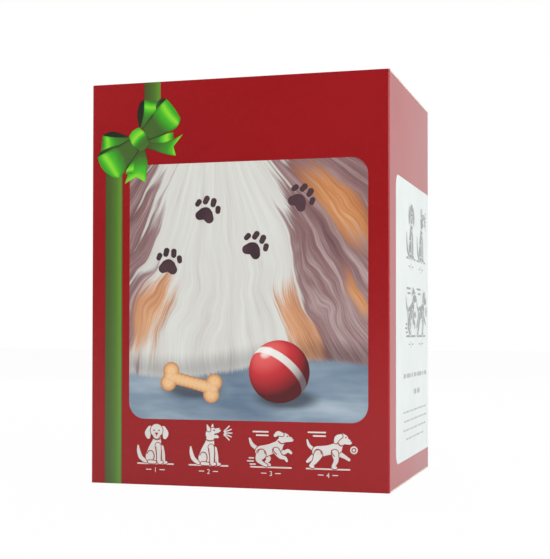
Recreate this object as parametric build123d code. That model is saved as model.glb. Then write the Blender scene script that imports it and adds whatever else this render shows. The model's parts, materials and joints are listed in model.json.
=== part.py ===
from build123d import *
from math import atan2, cos, degrees, hypot, pi, radians, sin
import os

# A battery-driven walking puppy of plush over a plastic chassis, standing in its creased tuck-top gift carton.
# Millimetres, +Z up. The carton's printed front faces -Y, the puppy faces the same way, and the origin is the
# centre of the carton's underside. Names that end in a pair hold a (low, high) limit along one axis.

# Carton
carton_width = 205.0
carton_depth = 160.0
carton_height = 270.0
board = 1.0                      # thickness of the folding board
crease_radius = 1.2              # outside radius of the upright creases
crease_gap = 0.1                 # between panels that lie on each other
tuck_length = 18.0
tuck_gap = 1.1                   # lets the tuck's edge swing out past the front wall
dust_flap_length = 55.0
glue_seam_width = 16.0

# Where the puppy's pieces turn
hip_height = 100.0
front_hip_y = -26.0
rear_hip_y = 40.0
crank_height = 118.0
motor_y = 20.0
motor_height = 112.0
neck_y = -34.0
neck_height = 156.0
tail_y = 57.0
tail_height = 142.0

# Chassis shell
chassis_half_width = 26.0
chassis_y_pair = (-44.0, 64.0)
chassis_z_pair = (80.0, 136.0)
shell_wall = 2.0
chassis_edge = 4.0               # radius of its outer edges

# Running parts
axle_radius = 1.5
running_gap = 0.05               # radial, between an axle and what turns on it
gear_axle_radius = 1.0
crankshaft_radius = 2.0
crank_throw = 4.4                # against the slot's 18 from hip to crank, it swings the legs 14 degrees each way
crank_pin_radius = 1.5
crank_reach = crank_height - hip_height
leg_core_x_pair = (30.5, 33.5)
link_lever = 14.0                # from a hip down to its link pin
link_x_pair = (33.9, 35.9)
sole_radius = 96.4               # the soles are arcs about the hips, so the feet clear the tray as they swing

# Gear train, from the motor to the crankshaft
gear_module = 0.8
motor_teeth = 9
first_wheel_teeth, first_pinion_teeth = 30, 10
second_wheel_teeth, second_pinion_teeth = 28, 10
crank_teeth = 30

# Plush
coat_half_width = 46.0
coat_y_pair = (-54.0, 73.0)
coat_z_pair = (84.0, 146.0)
sleeve_x_pair = (26.5, 46.0)
sleeve_top_radius = 26.0         # about the hip, so it passes under the coat's hem as the leg swings

half_width = carton_width / 2
half_depth = carton_depth / 2
inner_x = half_width - board
inner_y = half_depth - board
lid_underside = carton_height - board
tray_z_pair = (2 * board + 0.15, 3 * board + 0.15)


def block(x, y, z):
    """A box between three (low, high) limits."""
    limits = (x, y, z)
    return Pos(*[(low + high) / 2 for low, high in limits]) * Box(*[high - low for low, high in limits])


def rod_x(radius, x, y, z):
    return Pos((x[0] + x[1]) / 2, y, z) * Rot(0, 90, 0) * Cylinder(radius, x[1] - x[0])


def rod_y(radius, x, y, z):
    return Pos(x, (y[0] + y[1]) / 2, z) * Rot(90, 0, 0) * Cylinder(radius, y[1] - y[0])


def prism_x(radius, x, y, z, sides=12):
    """A many-sided rod that just holds a round one of this radius, for bores, bosses, caps and screws."""
    outline = Rot(0, 0, 180 / sides) * RegularPolygon(radius, sides, major_radius=False)
    return Pos(x[0], y, z) * Rot(0, 90, 0) * extrude(outline, x[1] - x[0])


def prism_y(radius, x, y, z, sides=12):
    return Pos(x, y[1], z) * Rot(90, 0, 0) * extrude(RegularPolygon(radius, sides, major_radius=False), y[1] - y[0])


def prism_z(radius, x, y, z, sides=12):
    return Pos(x, y, z[0]) * extrude(RegularPolygon(radius, sides, major_radius=False), z[1] - z[0])


def side_plate(points, x):
    """An outline of (y, z) points, made solid between two x limits."""
    return Pos(x[0], 0, 0) * extrude(Plane.YZ * make_face(Polyline(*points, close=True)), x[1] - x[0])


def front_plate(points, y):
    """An outline of (x, z) points, made solid between two y limits."""
    return Pos(0, y[1], 0) * extrude(Plane.XZ * make_face(Polyline(*points, close=True)), y[1] - y[0])


def mirrored(shape):
    """The same piece on the puppy's other side."""
    return mirror(shape, about=Plane.YZ)


def soft_block(x, y, z, edge):
    """A plush form: a box with every edge taken off."""
    body = block(x, y, z)
    return chamfer(body.edges(), edge)


# --- Carton ---------------------------------------------------------------------------------------------------

def carton_sleeve():
    """Four walls folded from one sheet. The lid and the bottom panel close on the side and back walls, inside
    the front wall, whose cut edges reach the carton's full height."""
    section = RectangleRounded(carton_width, carton_depth, crease_radius)
    section -= Rectangle(2 * inner_x, 2 * inner_y)
    walls = extrude(section, carton_height)
    seat_y_pair = (-inner_y, half_depth + 1)
    for z in ((lid_underside - crease_gap / 2, carton_height + 1), (-1, board + crease_gap / 2)):
        walls -= block((-half_width - 1, half_width + 1), seat_y_pair, z)
    seam_z_pair = (12.0, carton_height - 12.0)
    seam = block((-inner_x, -inner_x + board), (inner_y - glue_seam_width, inner_y), seam_z_pair)
    return walls + chamfer(seam.edges().filter_by(Axis.X), 6)


def panel(z):
    """The lid or the bottom panel, with its creased back and front edges rounded on the outside."""
    flat = block((-half_width, half_width), (-inner_y + tuck_gap, half_depth), z)
    outside = flat.faces().sort_by(Axis.Z)[-1 if z[1] > half_depth else 0]
    return fillet(outside.edges().filter_by(Axis.X), 0.7 * board)


def tuck_flap(z):
    """The strip that tucks behind the front wall, its free corners rounded."""
    y = (-inner_y + tuck_gap, -inner_y + tuck_gap + board)
    strip = block((-inner_x + 1.5, inner_x - 1.5), y, z)
    free_edges = strip.edges().filter_by(Axis.Y).sort_by(Axis.Z)
    return fillet(free_edges[:2] if z[1] > half_depth else free_edges[2:], 10)


def dust_flap(z, side):
    """A side flap that lies under the lid or over the bottom panel, tapered so that it never catches the tuck."""
    root_x, tip_x = inner_x - crease_gap, inner_x - crease_gap - dust_flap_length
    outline = [(root_x, -73), (root_x, 77), (root_x - 8, 77), (tip_x + 6, 71), (tip_x, 64), (tip_x, -58),
               (tip_x + 6, -66), (root_x - 8, -73)]
    flap = Pos(0, 0, z[0]) * extrude(make_face(Polyline(*outline, close=True)), z[1] - z[0])
    return flap if side > 0 else mirrored(flap)


support_card_places = (-9.0, 59.0)                                  # along y


def insert_tray():
    """The fitted card that lines the bottom: a base with two creased wings and slots for the support cards."""
    wing_height = 42.0
    x, y = (-inner_x + board + 0.2, inner_x - board - 0.2), (-76.5, 78.5)
    tray = block(x, y, tray_z_pair)
    for side in (-1, 1):
        wing = block((x[1] - board, x[1]), y, (tray_z_pair[0], wing_height))
        wing = chamfer(wing.edges().filter_by(Axis.X).sort_by(Axis.Z)[2:], 14)
        tray += wing if side > 0 else mirrored(wing)
    for card_y in support_card_places:
        tray -= block((-6.5, 6.5), (card_y - 0.65, card_y + 0.65), (0, 5))
    return tray


def support_cards():
    """Two cards that stand in the tray and carry the belly, so that the legs hang free in transit."""
    top, bottom = chassis_z_pair[0] - 0.1, tray_z_pair[1] + 0.05
    outline = [(-20, bottom), (-6, bottom), (-6, tray_z_pair[0]), (6, tray_z_pair[0]), (6, bottom), (20, bottom),
               (20, 22), (17, 34), (17, top), (-17, top), (-17, 34), (-20, 22)]
    card = front_plate(outline, (-board / 2, board / 2))
    card -= front_plate([(-8, 40), (8, 40), (11, 48), (8, 56), (-8, 56), (-11, 48)], (-2, 2))
    return Compound([Pos(0, card_y, 0) * card for card_y in support_card_places])


def instruction_leaflet():
    """A sheet folded in four, standing against the tray's left wing."""
    x, z = (-98.9, -97.7), (tray_z_pair[1], 136.0)
    folded = block(x, (-45, 45), z)
    for fold in (-98.6, -98.3, -98.0):
        folded -= block((fold - 0.02, fold + 0.02), (-46, 44), (z[0] + 1, z[1] + 1))
    return folded


# --- Chassis --------------------------------------------------------------------------------------------------

screw_places = ((-38.2, 130.0), (-33.0, 86.0), (50.0, 130.0), (59.4, 86.0))   # (y, z)
screw_head_radius, screw_radius, screw_boss_radius = 2.5, 1.25, 3.5
cell_bay_y_pair = (0.5, 54.0)
door_y_pair = (-6.5, 54.5)
door_half_width = 22.0
door_screw_y = -3.5
speaker_height = 96.5
speaker_radius = 13.5


def gear_centres():
    """Where the first and second gears turn, as (y, z), so that each pair's pitch circles touch."""
    second_reach = gear_module * (second_pinion_teeth + crank_teeth) / 2
    lean = radians(-2)
    second = (front_hip_y + second_reach * cos(lean), crank_height + second_reach * sin(lean))
    near = gear_module * (motor_teeth + first_wheel_teeth) / 2
    far = gear_module * (first_pinion_teeth + second_wheel_teeth) / 2
    dy, dz = second[0] - motor_y, second[1] - motor_height
    span = hypot(dy, dz)
    along = (near ** 2 - far ** 2 + span ** 2) / (2 * span)
    aside = (near ** 2 - along ** 2) ** 0.5
    first = (motor_y + (along * dy - aside * dz) / span, motor_height + (along * dz + aside * dy) / span)
    return first, second


first_gear_centre, second_gear_centre = gear_centres()
gearbox_plate_x_pair = (2.4, 4.2)
plate_post_places = ((29.5, 107.0), (29.5, 118.5), (10.0, 130.5))   # (y, z)
board_z_pair = (103.4, 105.0)                                       # the circuit board's


def chassis_half(side):
    """One half of the shell, split at x = 0. The left half takes the screws' threads, the right their heads."""
    y, z, wall = chassis_y_pair, chassis_z_pair, shell_wall
    inner_wall = chassis_half_width - wall
    outer = block((0, chassis_half_width), y, z)
    outer = fillet(outer.edges().filter_by(Axis.X), chassis_edge)
    outer = chamfer(outer.faces().sort_by(Axis.X)[-1].edges(), 1.2)
    half = outer - block((-1, inner_wall), (y[0] + wall, y[1] - wall), (z[0] + wall, z[1] - wall))
    for place in screw_places:
        half += prism_x(screw_boss_radius, (0, inner_wall + 0.5), *place)
    half += block((inner_wall - 2, inner_wall + 0.5), (45, 60), (101.8, board_z_pair[0]))
    half += side_fittings(side, inner_wall)
    for place in screw_places:
        half -= prism_x(screw_radius + (0.2 if side > 0 else 0.05), (-1, 9), *place)
        if side > 0:
            half -= prism_x(screw_head_radius + 0.2, (4, 40), *place)
    for hip_y in (front_hip_y, rear_hip_y):
        half -= prism_x(axle_radius + 0.01, (-1, 40), hip_y, hip_height)
    half -= prism_x(crankshaft_radius + 0.1, (-1, 40), front_hip_y, crank_height)
    half -= block((-1, door_half_width + 0.2), (door_y_pair[0] - 0.2, door_y_pair[1] + 0.2), (70, z[0] + wall))
    half -= block((-1, 4.4), (-20.4, -15.6), (70, z[0] + wall))
    half -= speaker_grille() + motor_vents()
    return half if side > 0 else mirrored(half)


def side_fittings(side, inner_wall):
    """What stands on a half's side wall: on the right the gearbox plate's posts and the gear axles' bosses, on
    the left the shelf that the motor lies on."""
    reach = inner_wall + 0.5
    if side < 0:
        return block((5, reach), (motor_y - 8, motor_y + 8), (motor_height - 9.2, motor_height - 7.6))
    fittings = []
    for post_y, post_z in plate_post_places:
        x = (gearbox_plate_x_pair[1], reach)
        fittings.append(block(x, (post_y - 1.8, post_y + 1.8), (post_z - 1.8, post_z + 1.8)))
    for centre in (first_gear_centre, second_gear_centre):
        boss = prism_x(2.6, (inner_wall - 3, reach), *centre)
        fittings.append(boss - prism_x(gear_axle_radius + 0.02, (inner_wall - 4, inner_wall), *centre))
    return fittings


def speaker_grille():
    """The sound slots through the chest wall, longest in the middle of the speaker."""
    y = (chassis_y_pair[0] - 1, chassis_y_pair[0] + shell_wall + 0.5)
    slots = []
    for row in range(-2, 3):
        middle = speaker_height + 4 * row
        slots.append(block((-10 + 2 * abs(row), 10 - 2 * abs(row)), y, (middle - 0.8, middle + 0.8)))
    return slots


def motor_vents():
    """Three cooling slots through the side wall beside the motor."""
    vents = []
    for row in range(3):
        low = motor_height - 5 + 4 * row
        vents.append(block((chassis_half_width - 3, chassis_half_width + 1), (24, 36), (low, low + 1.6)))
    return vents


def chassis_screws():
    screws = []
    for place in screw_places:
        head = prism_x(screw_head_radius, (4, 5.6), *place)
        screws.append(head + prism_x(screw_radius, (-8, 4), *place))
    return Compound(screws)


def battery_tray():
    """The inverted box that the cells lie in. Its skirt stands on the shell's floor round the door opening, and
    its nose holds the door's screw."""
    floor = chassis_z_pair[0] + shell_wall
    near, far = cell_bay_y_pair
    tray = block((-23.9, 23.9), (near - 1.4, far + 1.4), (floor, 98.3))
    tray -= block((-22.4, 22.4), cell_bay_y_pair, (floor - 1, 97.2))
    tray += block((-4, 4), (door_screw_y - 2.6, near - 1.3), (floor + 0.2, 92))
    tray -= prism_z(screw_radius + 0.25, 0, door_screw_y, (floor, 90))
    for rib_x in (-7.5, 7.5):
        for y in ((near, near + 2.5), (far - 2.5, far)):
            tray += block((rib_x - 0.3, rib_x + 0.3), y, (90, 97.3))
    return tray


cell_places = (-15.0, 0.0, 15.0)
cell_height = 89.7


def battery_cells():
    """Three AA cells, the middle one turned end for end."""
    cells = []
    near, far = cell_bay_y_pair[0] + 2.4, cell_bay_y_pair[1] - 2.3
    for index, x in enumerate(cell_places):
        button_y = (near - 1.3, near) if index == 1 else (far, far + 1.3)
        cells.append(prism_y(7.1, x, (near, far), cell_height, 20) + prism_y(2.6, x, button_y, cell_height))
    return Compound(cells)


def battery_contacts():
    """Folded leaf contacts: flat against the tray's end wall, with a tongue that bears on each cell."""
    leaves = []
    for x in cell_places:
        for end, turn in zip(cell_bay_y_pair, (1, -1)):
            presses_button = (x == 0) == (turn > 0)
            reach = 1.0 if presses_button else 2.3
            outline = [(end, 83.5), (end + 0.4 * turn, 83.5), (end + 0.4 * turn, 86.5), (end + reach * turn, 88.7),
                       (end + reach * turn, 90.7), (end + 0.4 * turn, 93), (end + 0.4 * turn, 95), (end, 95)]
            leaves.append(side_plate(outline, (x - 3.5, x + 3.5)))
    return Compound(leaves)


def battery_door():
    """The belly hatch, finger-ribbed, hung on its rear edge and held by one short screw."""
    z = (chassis_z_pair[0], chassis_z_pair[0] + shell_wall)
    door = block((-door_half_width, door_half_width), door_y_pair, z)
    door = chamfer(door.edges().filter_by(Axis.Z), 1.5)
    door -= prism_z(screw_radius + 0.3, 0, door_screw_y, (z[0] - 1, z[1] + 1))
    door -= prism_z(2.8, 0, door_screw_y, (z[0] - 1, z[0] + 1))
    for groove in range(5):
        y = door_y_pair[0] + 11 + 2.4 * groove
        door -= block((-8, 8), (y, y + 1.0), (z[0] - 1, z[0] + 0.5))
    return door


def battery_door_screw():
    low = chassis_z_pair[0]
    slot = block((-3, 3), (door_screw_y - 0.3, door_screw_y + 0.3), (low - 1, low + 0.4))
    head = prism_z(2.6, 0, door_screw_y, (low, low + 1)) - slot
    return head + prism_z(screw_radius, 0, door_screw_y, (low + 1, low + 4.5))


def power_switch():
    floor = chassis_z_pair[0] + shell_wall
    body = block((-8, 8), (-24, -12), (floor, 89)) - block((-9, 9), (-21.9, -14.1), (floor - 1, floor + 1.3))
    for x in (-4.5, 0, 4.5):
        body += block((x - 0.6, x + 0.6), (-18.3, -17.7), (88.9, 92))
    return body


def switch_slider():
    """Its plate runs in the switch, and its knob stands out through the shell's floor."""
    floor = chassis_z_pair[0] + shell_wall
    plate = block((-6, 2), (-21.6, -14.4), (floor + 0.1, floor + 1.1))
    knob = block((-4, 0), (-20, -16), (floor - 3.6, floor + 0.1))
    for x in (-3.2, -1.6):
        knob -= block((x, x + 0.8), (-21, -15), (floor - 4, floor - 3.1))
    return plate + knob


def speaker():
    """Cone basket and magnet behind a flange that seats on the chest wall."""
    wall_y = chassis_y_pair[0] + shell_wall
    flange = prism_y(speaker_radius, 0, (wall_y, wall_y + 1.2), speaker_height, 24)
    mouth = Pos(0, wall_y + 1.2, speaker_height) * Rot(-90, 0, 0) * RegularPolygon(12.5, 12)
    throat = Pos(0, wall_y + 5.0, speaker_height) * Rot(-90, 0, 0) * RegularPolygon(6.5, 12)
    magnet = prism_y(6.5, 0, (wall_y + 5.0, wall_y + 8.8), speaker_height)
    return flange + loft([mouth, throat]) + magnet


def circuit_board():
    return block((-23.8, 23.8), (33.5, 60), board_z_pair) - prism_z(1.6, 18, 38, (100, 110))


def board_components():
    """The sound chip under its blob of resin, a driver chip and an upright capacitor."""
    top = board_z_pair[1]
    blob = Pos(4, 50, top) * extrude(RegularPolygon(5, 12), 1.6, taper=40)
    driver = block((-12, -4), (52, 57), (top, top + 1.6))
    capacitor = Pos(9, 40, top) * extrude(RegularPolygon(2.5, 12), 8)
    return Compound([blob, driver, capacitor])


def flat_lead(points, x, bend):
    """A flat twin lead that runs through (y, z) points in the plane at x."""
    width, thickness = 2.2, 1.1
    path = FilletPolyline(*[(x, *point) for point in points], radius=bend)
    start = Plane(origin=path @ 0, z_dir=path % 0, x_dir=(1, 0, 0))
    return sweep(start * Rectangle(width, thickness), path=path)


def internal_leads():
    """The motor's lead and the speaker's, each down to the circuit board."""
    end = board_z_pair[1] + 0.1
    to_motor = flat_lead([(motor_y + 2.6, motor_height), (38, motor_height), (38, end)], -20.0, [3.0])
    to_speaker = flat_lead([(-33, 102), (-27, 107), (-12, 124), (34, 124), (40, 114), (40, end)], -8.0,
                           [3.5, 9.0, 6.0, 3.5])
    return Compound([to_motor, to_speaker])


# --- Drive ----------------------------------------------------------------------------------------------------

tooth_widths = ((-1.2, 0.62), (0.9, 0.22))       # (height in modules, share of the pitch), at root and tip


def spur_gear(teeth, x, centre, phase, bore):
    """A straight-toothed gear between two x limits, with a tooth centred at the angle phase."""
    pitch = 2 * pi / teeth
    outline = []
    for tooth in range(teeth):
        middle = phase + tooth * pitch
        profile = [(height, -share / 2) for height, share in tooth_widths]
        profile += [(height, share / 2) for height, share in reversed(tooth_widths)]
        for height, offset in profile:
            radius = gear_module * (teeth / 2 + height)
            angle = middle + offset * pitch
            outline.append((centre[0] + radius * cos(angle), centre[1] + radius * sin(angle)))
    gear = side_plate(outline, x)
    return gear - prism_x(bore, (x[0] - 1, x[1] + 1), *centre) if bore else gear


def meshing_phase(driver_teeth, driver_phase, driver_centre, teeth, centre):
    """The phase that puts a gap of this gear where its driver's tooth comes."""
    toward = atan2(centre[1] - driver_centre[1], centre[0] - driver_centre[0])
    driver_share = (toward - driver_phase) * driver_teeth / (2 * pi)
    return toward + pi + (driver_share + 0.5) * 2 * pi / teeth


motor_centre = (motor_y, motor_height)
crank_centre = (front_hip_y, crank_height)


def gearbox_plate():
    """The inner wall that carries the motor's nose, the gear axles and the crankshaft."""
    outline = [(-40, 112), (-34, 105), (-10, 105), (8, 102), (32, 102), (32, 122), (14, 133.5), (-41.8, 133.5),
               (-41.8, 126)]
    plate = side_plate(outline, gearbox_plate_x_pair) - prism_x(3.1, (0, 6), *motor_centre)
    plate -= prism_x(screw_boss_radius + 0.05, (0, 6), *screw_places[0])
    plate -= prism_x(crankshaft_radius + 0.1, (0, 6), *crank_centre)
    for centre in (first_gear_centre, second_gear_centre):
        plate -= prism_x(gear_axle_radius + 0.02, (0, 6), *centre)
    return plate


def motor():
    """A can motor with flattened sides, its bearing nose in the gearbox plate and its terminals at the far end."""
    x = (-18.0, gearbox_plate_x_pair[0])
    can = rod_x(10, x, *motor_centre) & block(x, (0, 40), (motor_height - 7.6, motor_height + 7.6))
    nose = prism_x(3.0, (x[1], x[1] + 1.2), *motor_centre) - prism_x(1.2, (x[1], x[1] + 2), *motor_centre)
    tab = block((-21.2, x[0]), (motor_y - 2.5, motor_y + 2.5), (motor_height - 0.4, motor_height + 0.4))
    return can + nose + tab


def motor_pinion():
    """The pinion on the stub of the motor's shaft."""
    return spur_gear(motor_teeth, (4.8, 8.6), motor_centre, 0, 0) + rod_x(gear_axle_radius, (2.5, 4.8), *motor_centre)


def compound_gear(wheel_teeth, pinion_teeth, wheel_x, pinion_x, centre, wheel_phase, pinion_phase):
    """A wheel and a long pinion in one moulding that runs on a steel axle."""
    bore = gear_axle_radius + running_gap
    gear = spur_gear(wheel_teeth, wheel_x, centre, wheel_phase, bore)
    return gear + spur_gear(pinion_teeth, pinion_x, centre, pinion_phase, bore)


first_wheel_phase = meshing_phase(motor_teeth, 0, motor_centre, first_wheel_teeth, first_gear_centre)
second_wheel_phase = meshing_phase(first_pinion_teeth, 0, first_gear_centre, second_wheel_teeth,
                                   second_gear_centre)
crank_gear_phase = meshing_phase(second_pinion_teeth, 0, second_gear_centre, crank_teeth, crank_centre)


def first_gear():
    return compound_gear(first_wheel_teeth, first_pinion_teeth, (5.0, 8.0), (8.0, 20.9), first_gear_centre,
                         first_wheel_phase, 0)


def second_gear():
    return compound_gear(second_wheel_teeth, second_pinion_teeth, (9.0, 12.0), (12.0, 20.9), second_gear_centre,
                         second_wheel_phase, 0)


def gear_axles():
    return Compound([rod_x(gear_axle_radius, (2.4, 23.9), *centre)
                     for centre in (first_gear_centre, second_gear_centre)])


def crankshaft():
    return rod_x(crankshaft_radius, (-29.2, 29.2), *crank_centre)


def crank_gear():
    """The last wheel, lightened by five windows, on a hub that reaches to the shell's wall."""
    gear = spur_gear(crank_teeth, (12.6, 15.6), crank_centre, crank_gear_phase, 0)
    gear += prism_x(3.6, (15.5, 22.0), *crank_centre)
    for window in range(5):
        angle = 2 * pi * window / 5
        gear -= prism_x(2.2, (12, 16), crank_centre[0] + 7.4 * cos(angle), crank_centre[1] + 7.4 * sin(angle), 6)
    return gear - prism_x(crankshaft_radius + 0.01, (10, 30), *crank_centre)


def crank_discs():
    """The cranks on the shaft's ends. The pin stands at the top on the left and at the bottom on the right."""
    discs = []
    for side in (-1, 1):
        disc = prism_x(8.5, (27.0, 29.2), *crank_centre, 24)
        disc += prism_x(crank_pin_radius, (29.1, 30.1), crank_centre[0], crank_centre[1] - side * crank_throw)
        disc -= prism_x(crankshaft_radius + 0.01, (20, 40), *crank_centre)
        discs.append(disc if side > 0 else mirrored(disc))
    return Compound(discs)


# --- Legs -----------------------------------------------------------------------------------------------------

def hip_axles():
    return Compound([rod_x(axle_radius, (-36.8, 36.8), hip_y, hip_height) for hip_y in (front_hip_y, rear_hip_y)])


def axle_caps():
    """Push-on caps that keep the four legs on their axles."""
    caps = []
    for hip_y in (front_hip_y, rear_hip_y):
        for x in ((-36.8, -33.8), (33.8, 36.8)):
            caps.append(prism_x(3.2, x, hip_y, hip_height) - prism_x(axle_radius, x, hip_y, hip_height))
    return Compound(caps)


def leg_core(hip_y, side):
    """The plastic bone: hip eye, slotted arm for the crank pin (front legs), link pin, shin and paw."""
    eye_radius, arm_reach = 7.0, crank_reach + crank_throw + 4.6
    at = (hip_y, hip_height)
    core = prism_x(eye_radius, leg_core_x_pair, *at, 20)
    shin = [(-6.5, 0), (6.5, 0), (5.5, -40), (5.0, -76), (8, -84), (8, -97), (-14, -97), (-14, -88), (-6, -76)]
    core += side_plate([(hip_y + y, hip_height + z) for y, z in shin], leg_core_x_pair)
    pocket = [(-3.4, -21), (3.4, -21), (2.6, -72), (-3.4, -72)]
    core -= side_plate([(hip_y + y, hip_height + z) for y, z in pocket], (leg_core_x_pair[1] - 1, 40))
    if hip_y == front_hip_y:
        arm = block(leg_core_x_pair, (hip_y - 4.8, hip_y + 4.8), (hip_height, hip_height + arm_reach - 4))
        arm += prism_x(4.8, leg_core_x_pair, hip_y, hip_height + arm_reach - 4.8)
        slot_radius = crank_pin_radius + 0.2
        slot_z_pair = (crank_height - crank_throw - 0.6, crank_height + crank_throw + 0.6)
        slot = block((30, 34), (hip_y - slot_radius, hip_y + slot_radius), slot_z_pair)
        for end in slot_z_pair:
            slot += prism_x(slot_radius, (30, 34), hip_y, end)
        core += arm - slot
    core += rod_x(axle_radius, (leg_core_x_pair[1] - 0.1, link_x_pair[1] + 0.4), hip_y, hip_height - link_lever)
    core &= rod_x(sole_radius - 1.0, (20, 50), *at) + block((20, 50), (hip_y - 60, hip_y + 60), (90, 140))
    core -= prism_x(axle_radius + running_gap, (20, 50), *at)
    return core if side > 0 else mirrored(core)


def leg_sleeve(hip_y, side):
    """The plush leg round the bone below the hip, with a forward paw."""
    outline = [(-12.5, -20), (12.5, -20), (12.5, -74), (15, -80), (15, -99), (-21, -99), (-21, -84), (-12.5, -72)]
    sleeve = side_plate([(hip_y + y, hip_height + z) for y, z in outline], sleeve_x_pair)
    sleeve = chamfer(sleeve.edges().filter_by(Axis.X, reverse=True), 3)
    sleeve &= rod_x(sole_radius, (10, 60), hip_y, hip_height)
    sleeve -= rod_x(sleeve_top_radius, (10, 60), hip_y, hip_height)
    bone_room = [(-7, -10), (7, -10), (7, -76), (9, -82), (9, -110), (-15, -110), (-15, -86), (-7, -75)]
    sleeve -= side_plate([(hip_y + y, hip_height + z) for y, z in bone_room], leg_core_x_pair)
    return sleeve if side > 0 else mirrored(sleeve)


def link_bar(side):
    """Joins a side's front and rear legs, so that they swing together."""
    z = hip_height - link_lever
    bar = block(link_x_pair, (front_hip_y, rear_hip_y), (z - 2.2, z + 2.2))
    for hip_y in (front_hip_y, rear_hip_y):
        bar += prism_x(3.4, link_x_pair, hip_y, z)
        bar -= prism_x(axle_radius + running_gap, (30, 40), hip_y, z)
    return bar if side > 0 else mirrored(bar)


# --- Head and tail --------------------------------------------------------------------------------------------

def yoke(eye_z, eye_y, along_x):
    """A forked bracket on the chassis roof, its eye along X for the neck or along Y for the tail."""
    roof = chassis_z_pair[1]
    if along_x:
        fork = block((-10, 10), (eye_y - 6, eye_y + 7), (roof, roof + 2.2))
        for x in ((-9.5, -6.5), (6.5, 9.5)):
            fork += block(x, (eye_y - 5, eye_y + 5), (roof + 2, eye_z)) + prism_x(5, x, eye_y, eye_z)
        return fork - prism_x(axle_radius + 0.01, (-20, 20), eye_y, eye_z)
    fork = block((-6, 6), (eye_y - 6.5, eye_y + 6.5), (roof, roof + 1.6))
    for y in ((eye_y - 5.5, eye_y - 3.2), (eye_y + 3.2, eye_y + 5.5)):
        fork += front_plate([(-4, roof + 1.5), (4, roof + 1.5), (4, eye_z + 1.7), (1.7, eye_z + 4),
                             (-1.7, eye_z + 4), (-4, eye_z + 1.7)], y)
    return fork - prism_y(axle_radius + 0.01, 0, (eye_y - 20, eye_y + 20), eye_z)


def pivot_pins():
    """The steel pins of the neck and the tail."""
    neck_pin = rod_x(axle_radius, (-10.5, 10.5), neck_y, neck_height)
    return Compound([neck_pin, rod_y(axle_radius, 0, (tail_y - 6.5, tail_y + 6.5), tail_height)])


head_core_limits = ((-20, 20), (-50, -18), (164, 198))
head_limits = ((-40, 40), (-60, -8), (160, 212))


def head_core():
    """The hard skull with the tongue that hangs it on the neck."""
    skull = chamfer(block(*head_core_limits).edges(), 4)
    tongue = block((-6.0, 6.0), (neck_y - 4.5, neck_y + 4.5), (neck_height, 166))
    tongue += prism_x(4.5, (-6.0, 6.0), neck_y, neck_height)
    return skull + tongue - prism_x(axle_radius + running_gap, (-20, 20), neck_y, neck_height)


def head_plush():
    """The stuffed head: skull and muzzle, hollow where the hard core sits and open below for the neck."""
    head = soft_block(*head_limits, 12) + soft_block((-17, 17), (-70, -55), (163, 185), 5)
    head -= block((-11.5, 11.5), (neck_y - 9.5, neck_y + 9.5), (150, 170))
    return head - chamfer(block(*head_core_limits).edges(), 4)


eye_height = 190.0
eye_rings = ((0, 5.6), (1.6, 5.0), (2.8, 3.6), (3.4, 1.6))       # (distance out from the head, radius)


def eyes():
    """Domed safety eyes on the front of the head."""
    dome = []
    for (low, wide), (high, narrow) in zip(eye_rings, eye_rings[1:]):
        slope = degrees(atan2(wide - narrow, high - low))
        dome.append(Pos(0, 0, low) * extrude(RegularPolygon(wide, 16), high - low, taper=slope))
    right = Pos(17, head_limits[1][0], eye_height) * Rot(90, 0, 0) * (dome[0] + dome[1:])
    return Compound([right, mirrored(right)])


def nose():
    outline = [(-3, 176), (3, 176), (6.5, 181), (6, 184.5), (-6, 184.5), (-6.5, 181)]
    tip = front_plate(outline, (-72.6, -70))
    return chamfer(tip.faces().sort_by(Axis.Y)[0].edges(), 0.9)


def ears():
    """Floppy ears hanging from the sides of the head."""
    outline = [(-42, 203), (-24, 203), (-18, 192), (-17, 172), (-24, 161), (-34, 160), (-42, 166), (-46, 180),
               (-46, 196)]
    right = chamfer(side_plate(outline, (40, 46.5)).faces().sort_by(Axis.X)[-1].edges(), 1.8)
    return Compound([right, mirrored(right)])


collar_radius = 17.7


def collar():
    band_z_pair = (146.6, 152.8)
    band = RegularPolygon(collar_radius, 24) - RegularPolygon(collar_radius - 2, 24)
    return Pos(0, neck_y, band_z_pair[0]) * extrude(band, band_z_pair[1] - band_z_pair[0])


def bow_tie():
    """Two flared wings and a knot, on a loop round the front of the collar."""
    y = (-60.5, -54.6)
    wing = front_plate([(2, 144.5), (20, 139.5), (22, 147), (20, 154.0), (2, 149.5)], y)
    wing = chamfer(wing.faces().sort_by(Axis.Y)[0].edges(), 1.5)
    bow = wing + mirrored(wing) + block((-3.4, 3.4), (-61.6, -54.6), (143.5, 150.5))
    return bow + block((-3.4, 3.4), (-54.7, neck_y - collar_radius - 0.05), (147, 151.5))


def tail_core():
    """The hub on its pin and the stalk, which leans back inside the plush."""
    hub = prism_y(4.0, 0, (tail_y - 3.0, tail_y + 3.0), tail_height)
    stalk = side_plate([(tail_y - 2, tail_height), (tail_y + 2, tail_height), (tail_y + 2, 160),
                        (tail_y + 8, 184), (tail_y + 4.5, 185), (tail_y - 2, 161)], (-2, 2))
    return hub + stalk - prism_y(axle_radius + running_gap, 0, (tail_y - 5, tail_y + 5), tail_height)


def tail_plush():
    """A stubby upright tail that leans back to its tip."""
    outline = [(50.5, 157), (53, 154), (61, 154), (63.5, 157), (69, 176), (70, 188), (66, 194), (61, 192),
               (56, 182), (50.5, 168)]
    tail = side_plate(outline, (-7, 7))
    return chamfer(tail.edges().filter_by(Axis.X, reverse=True), 2.5) - tail_core()


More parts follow.
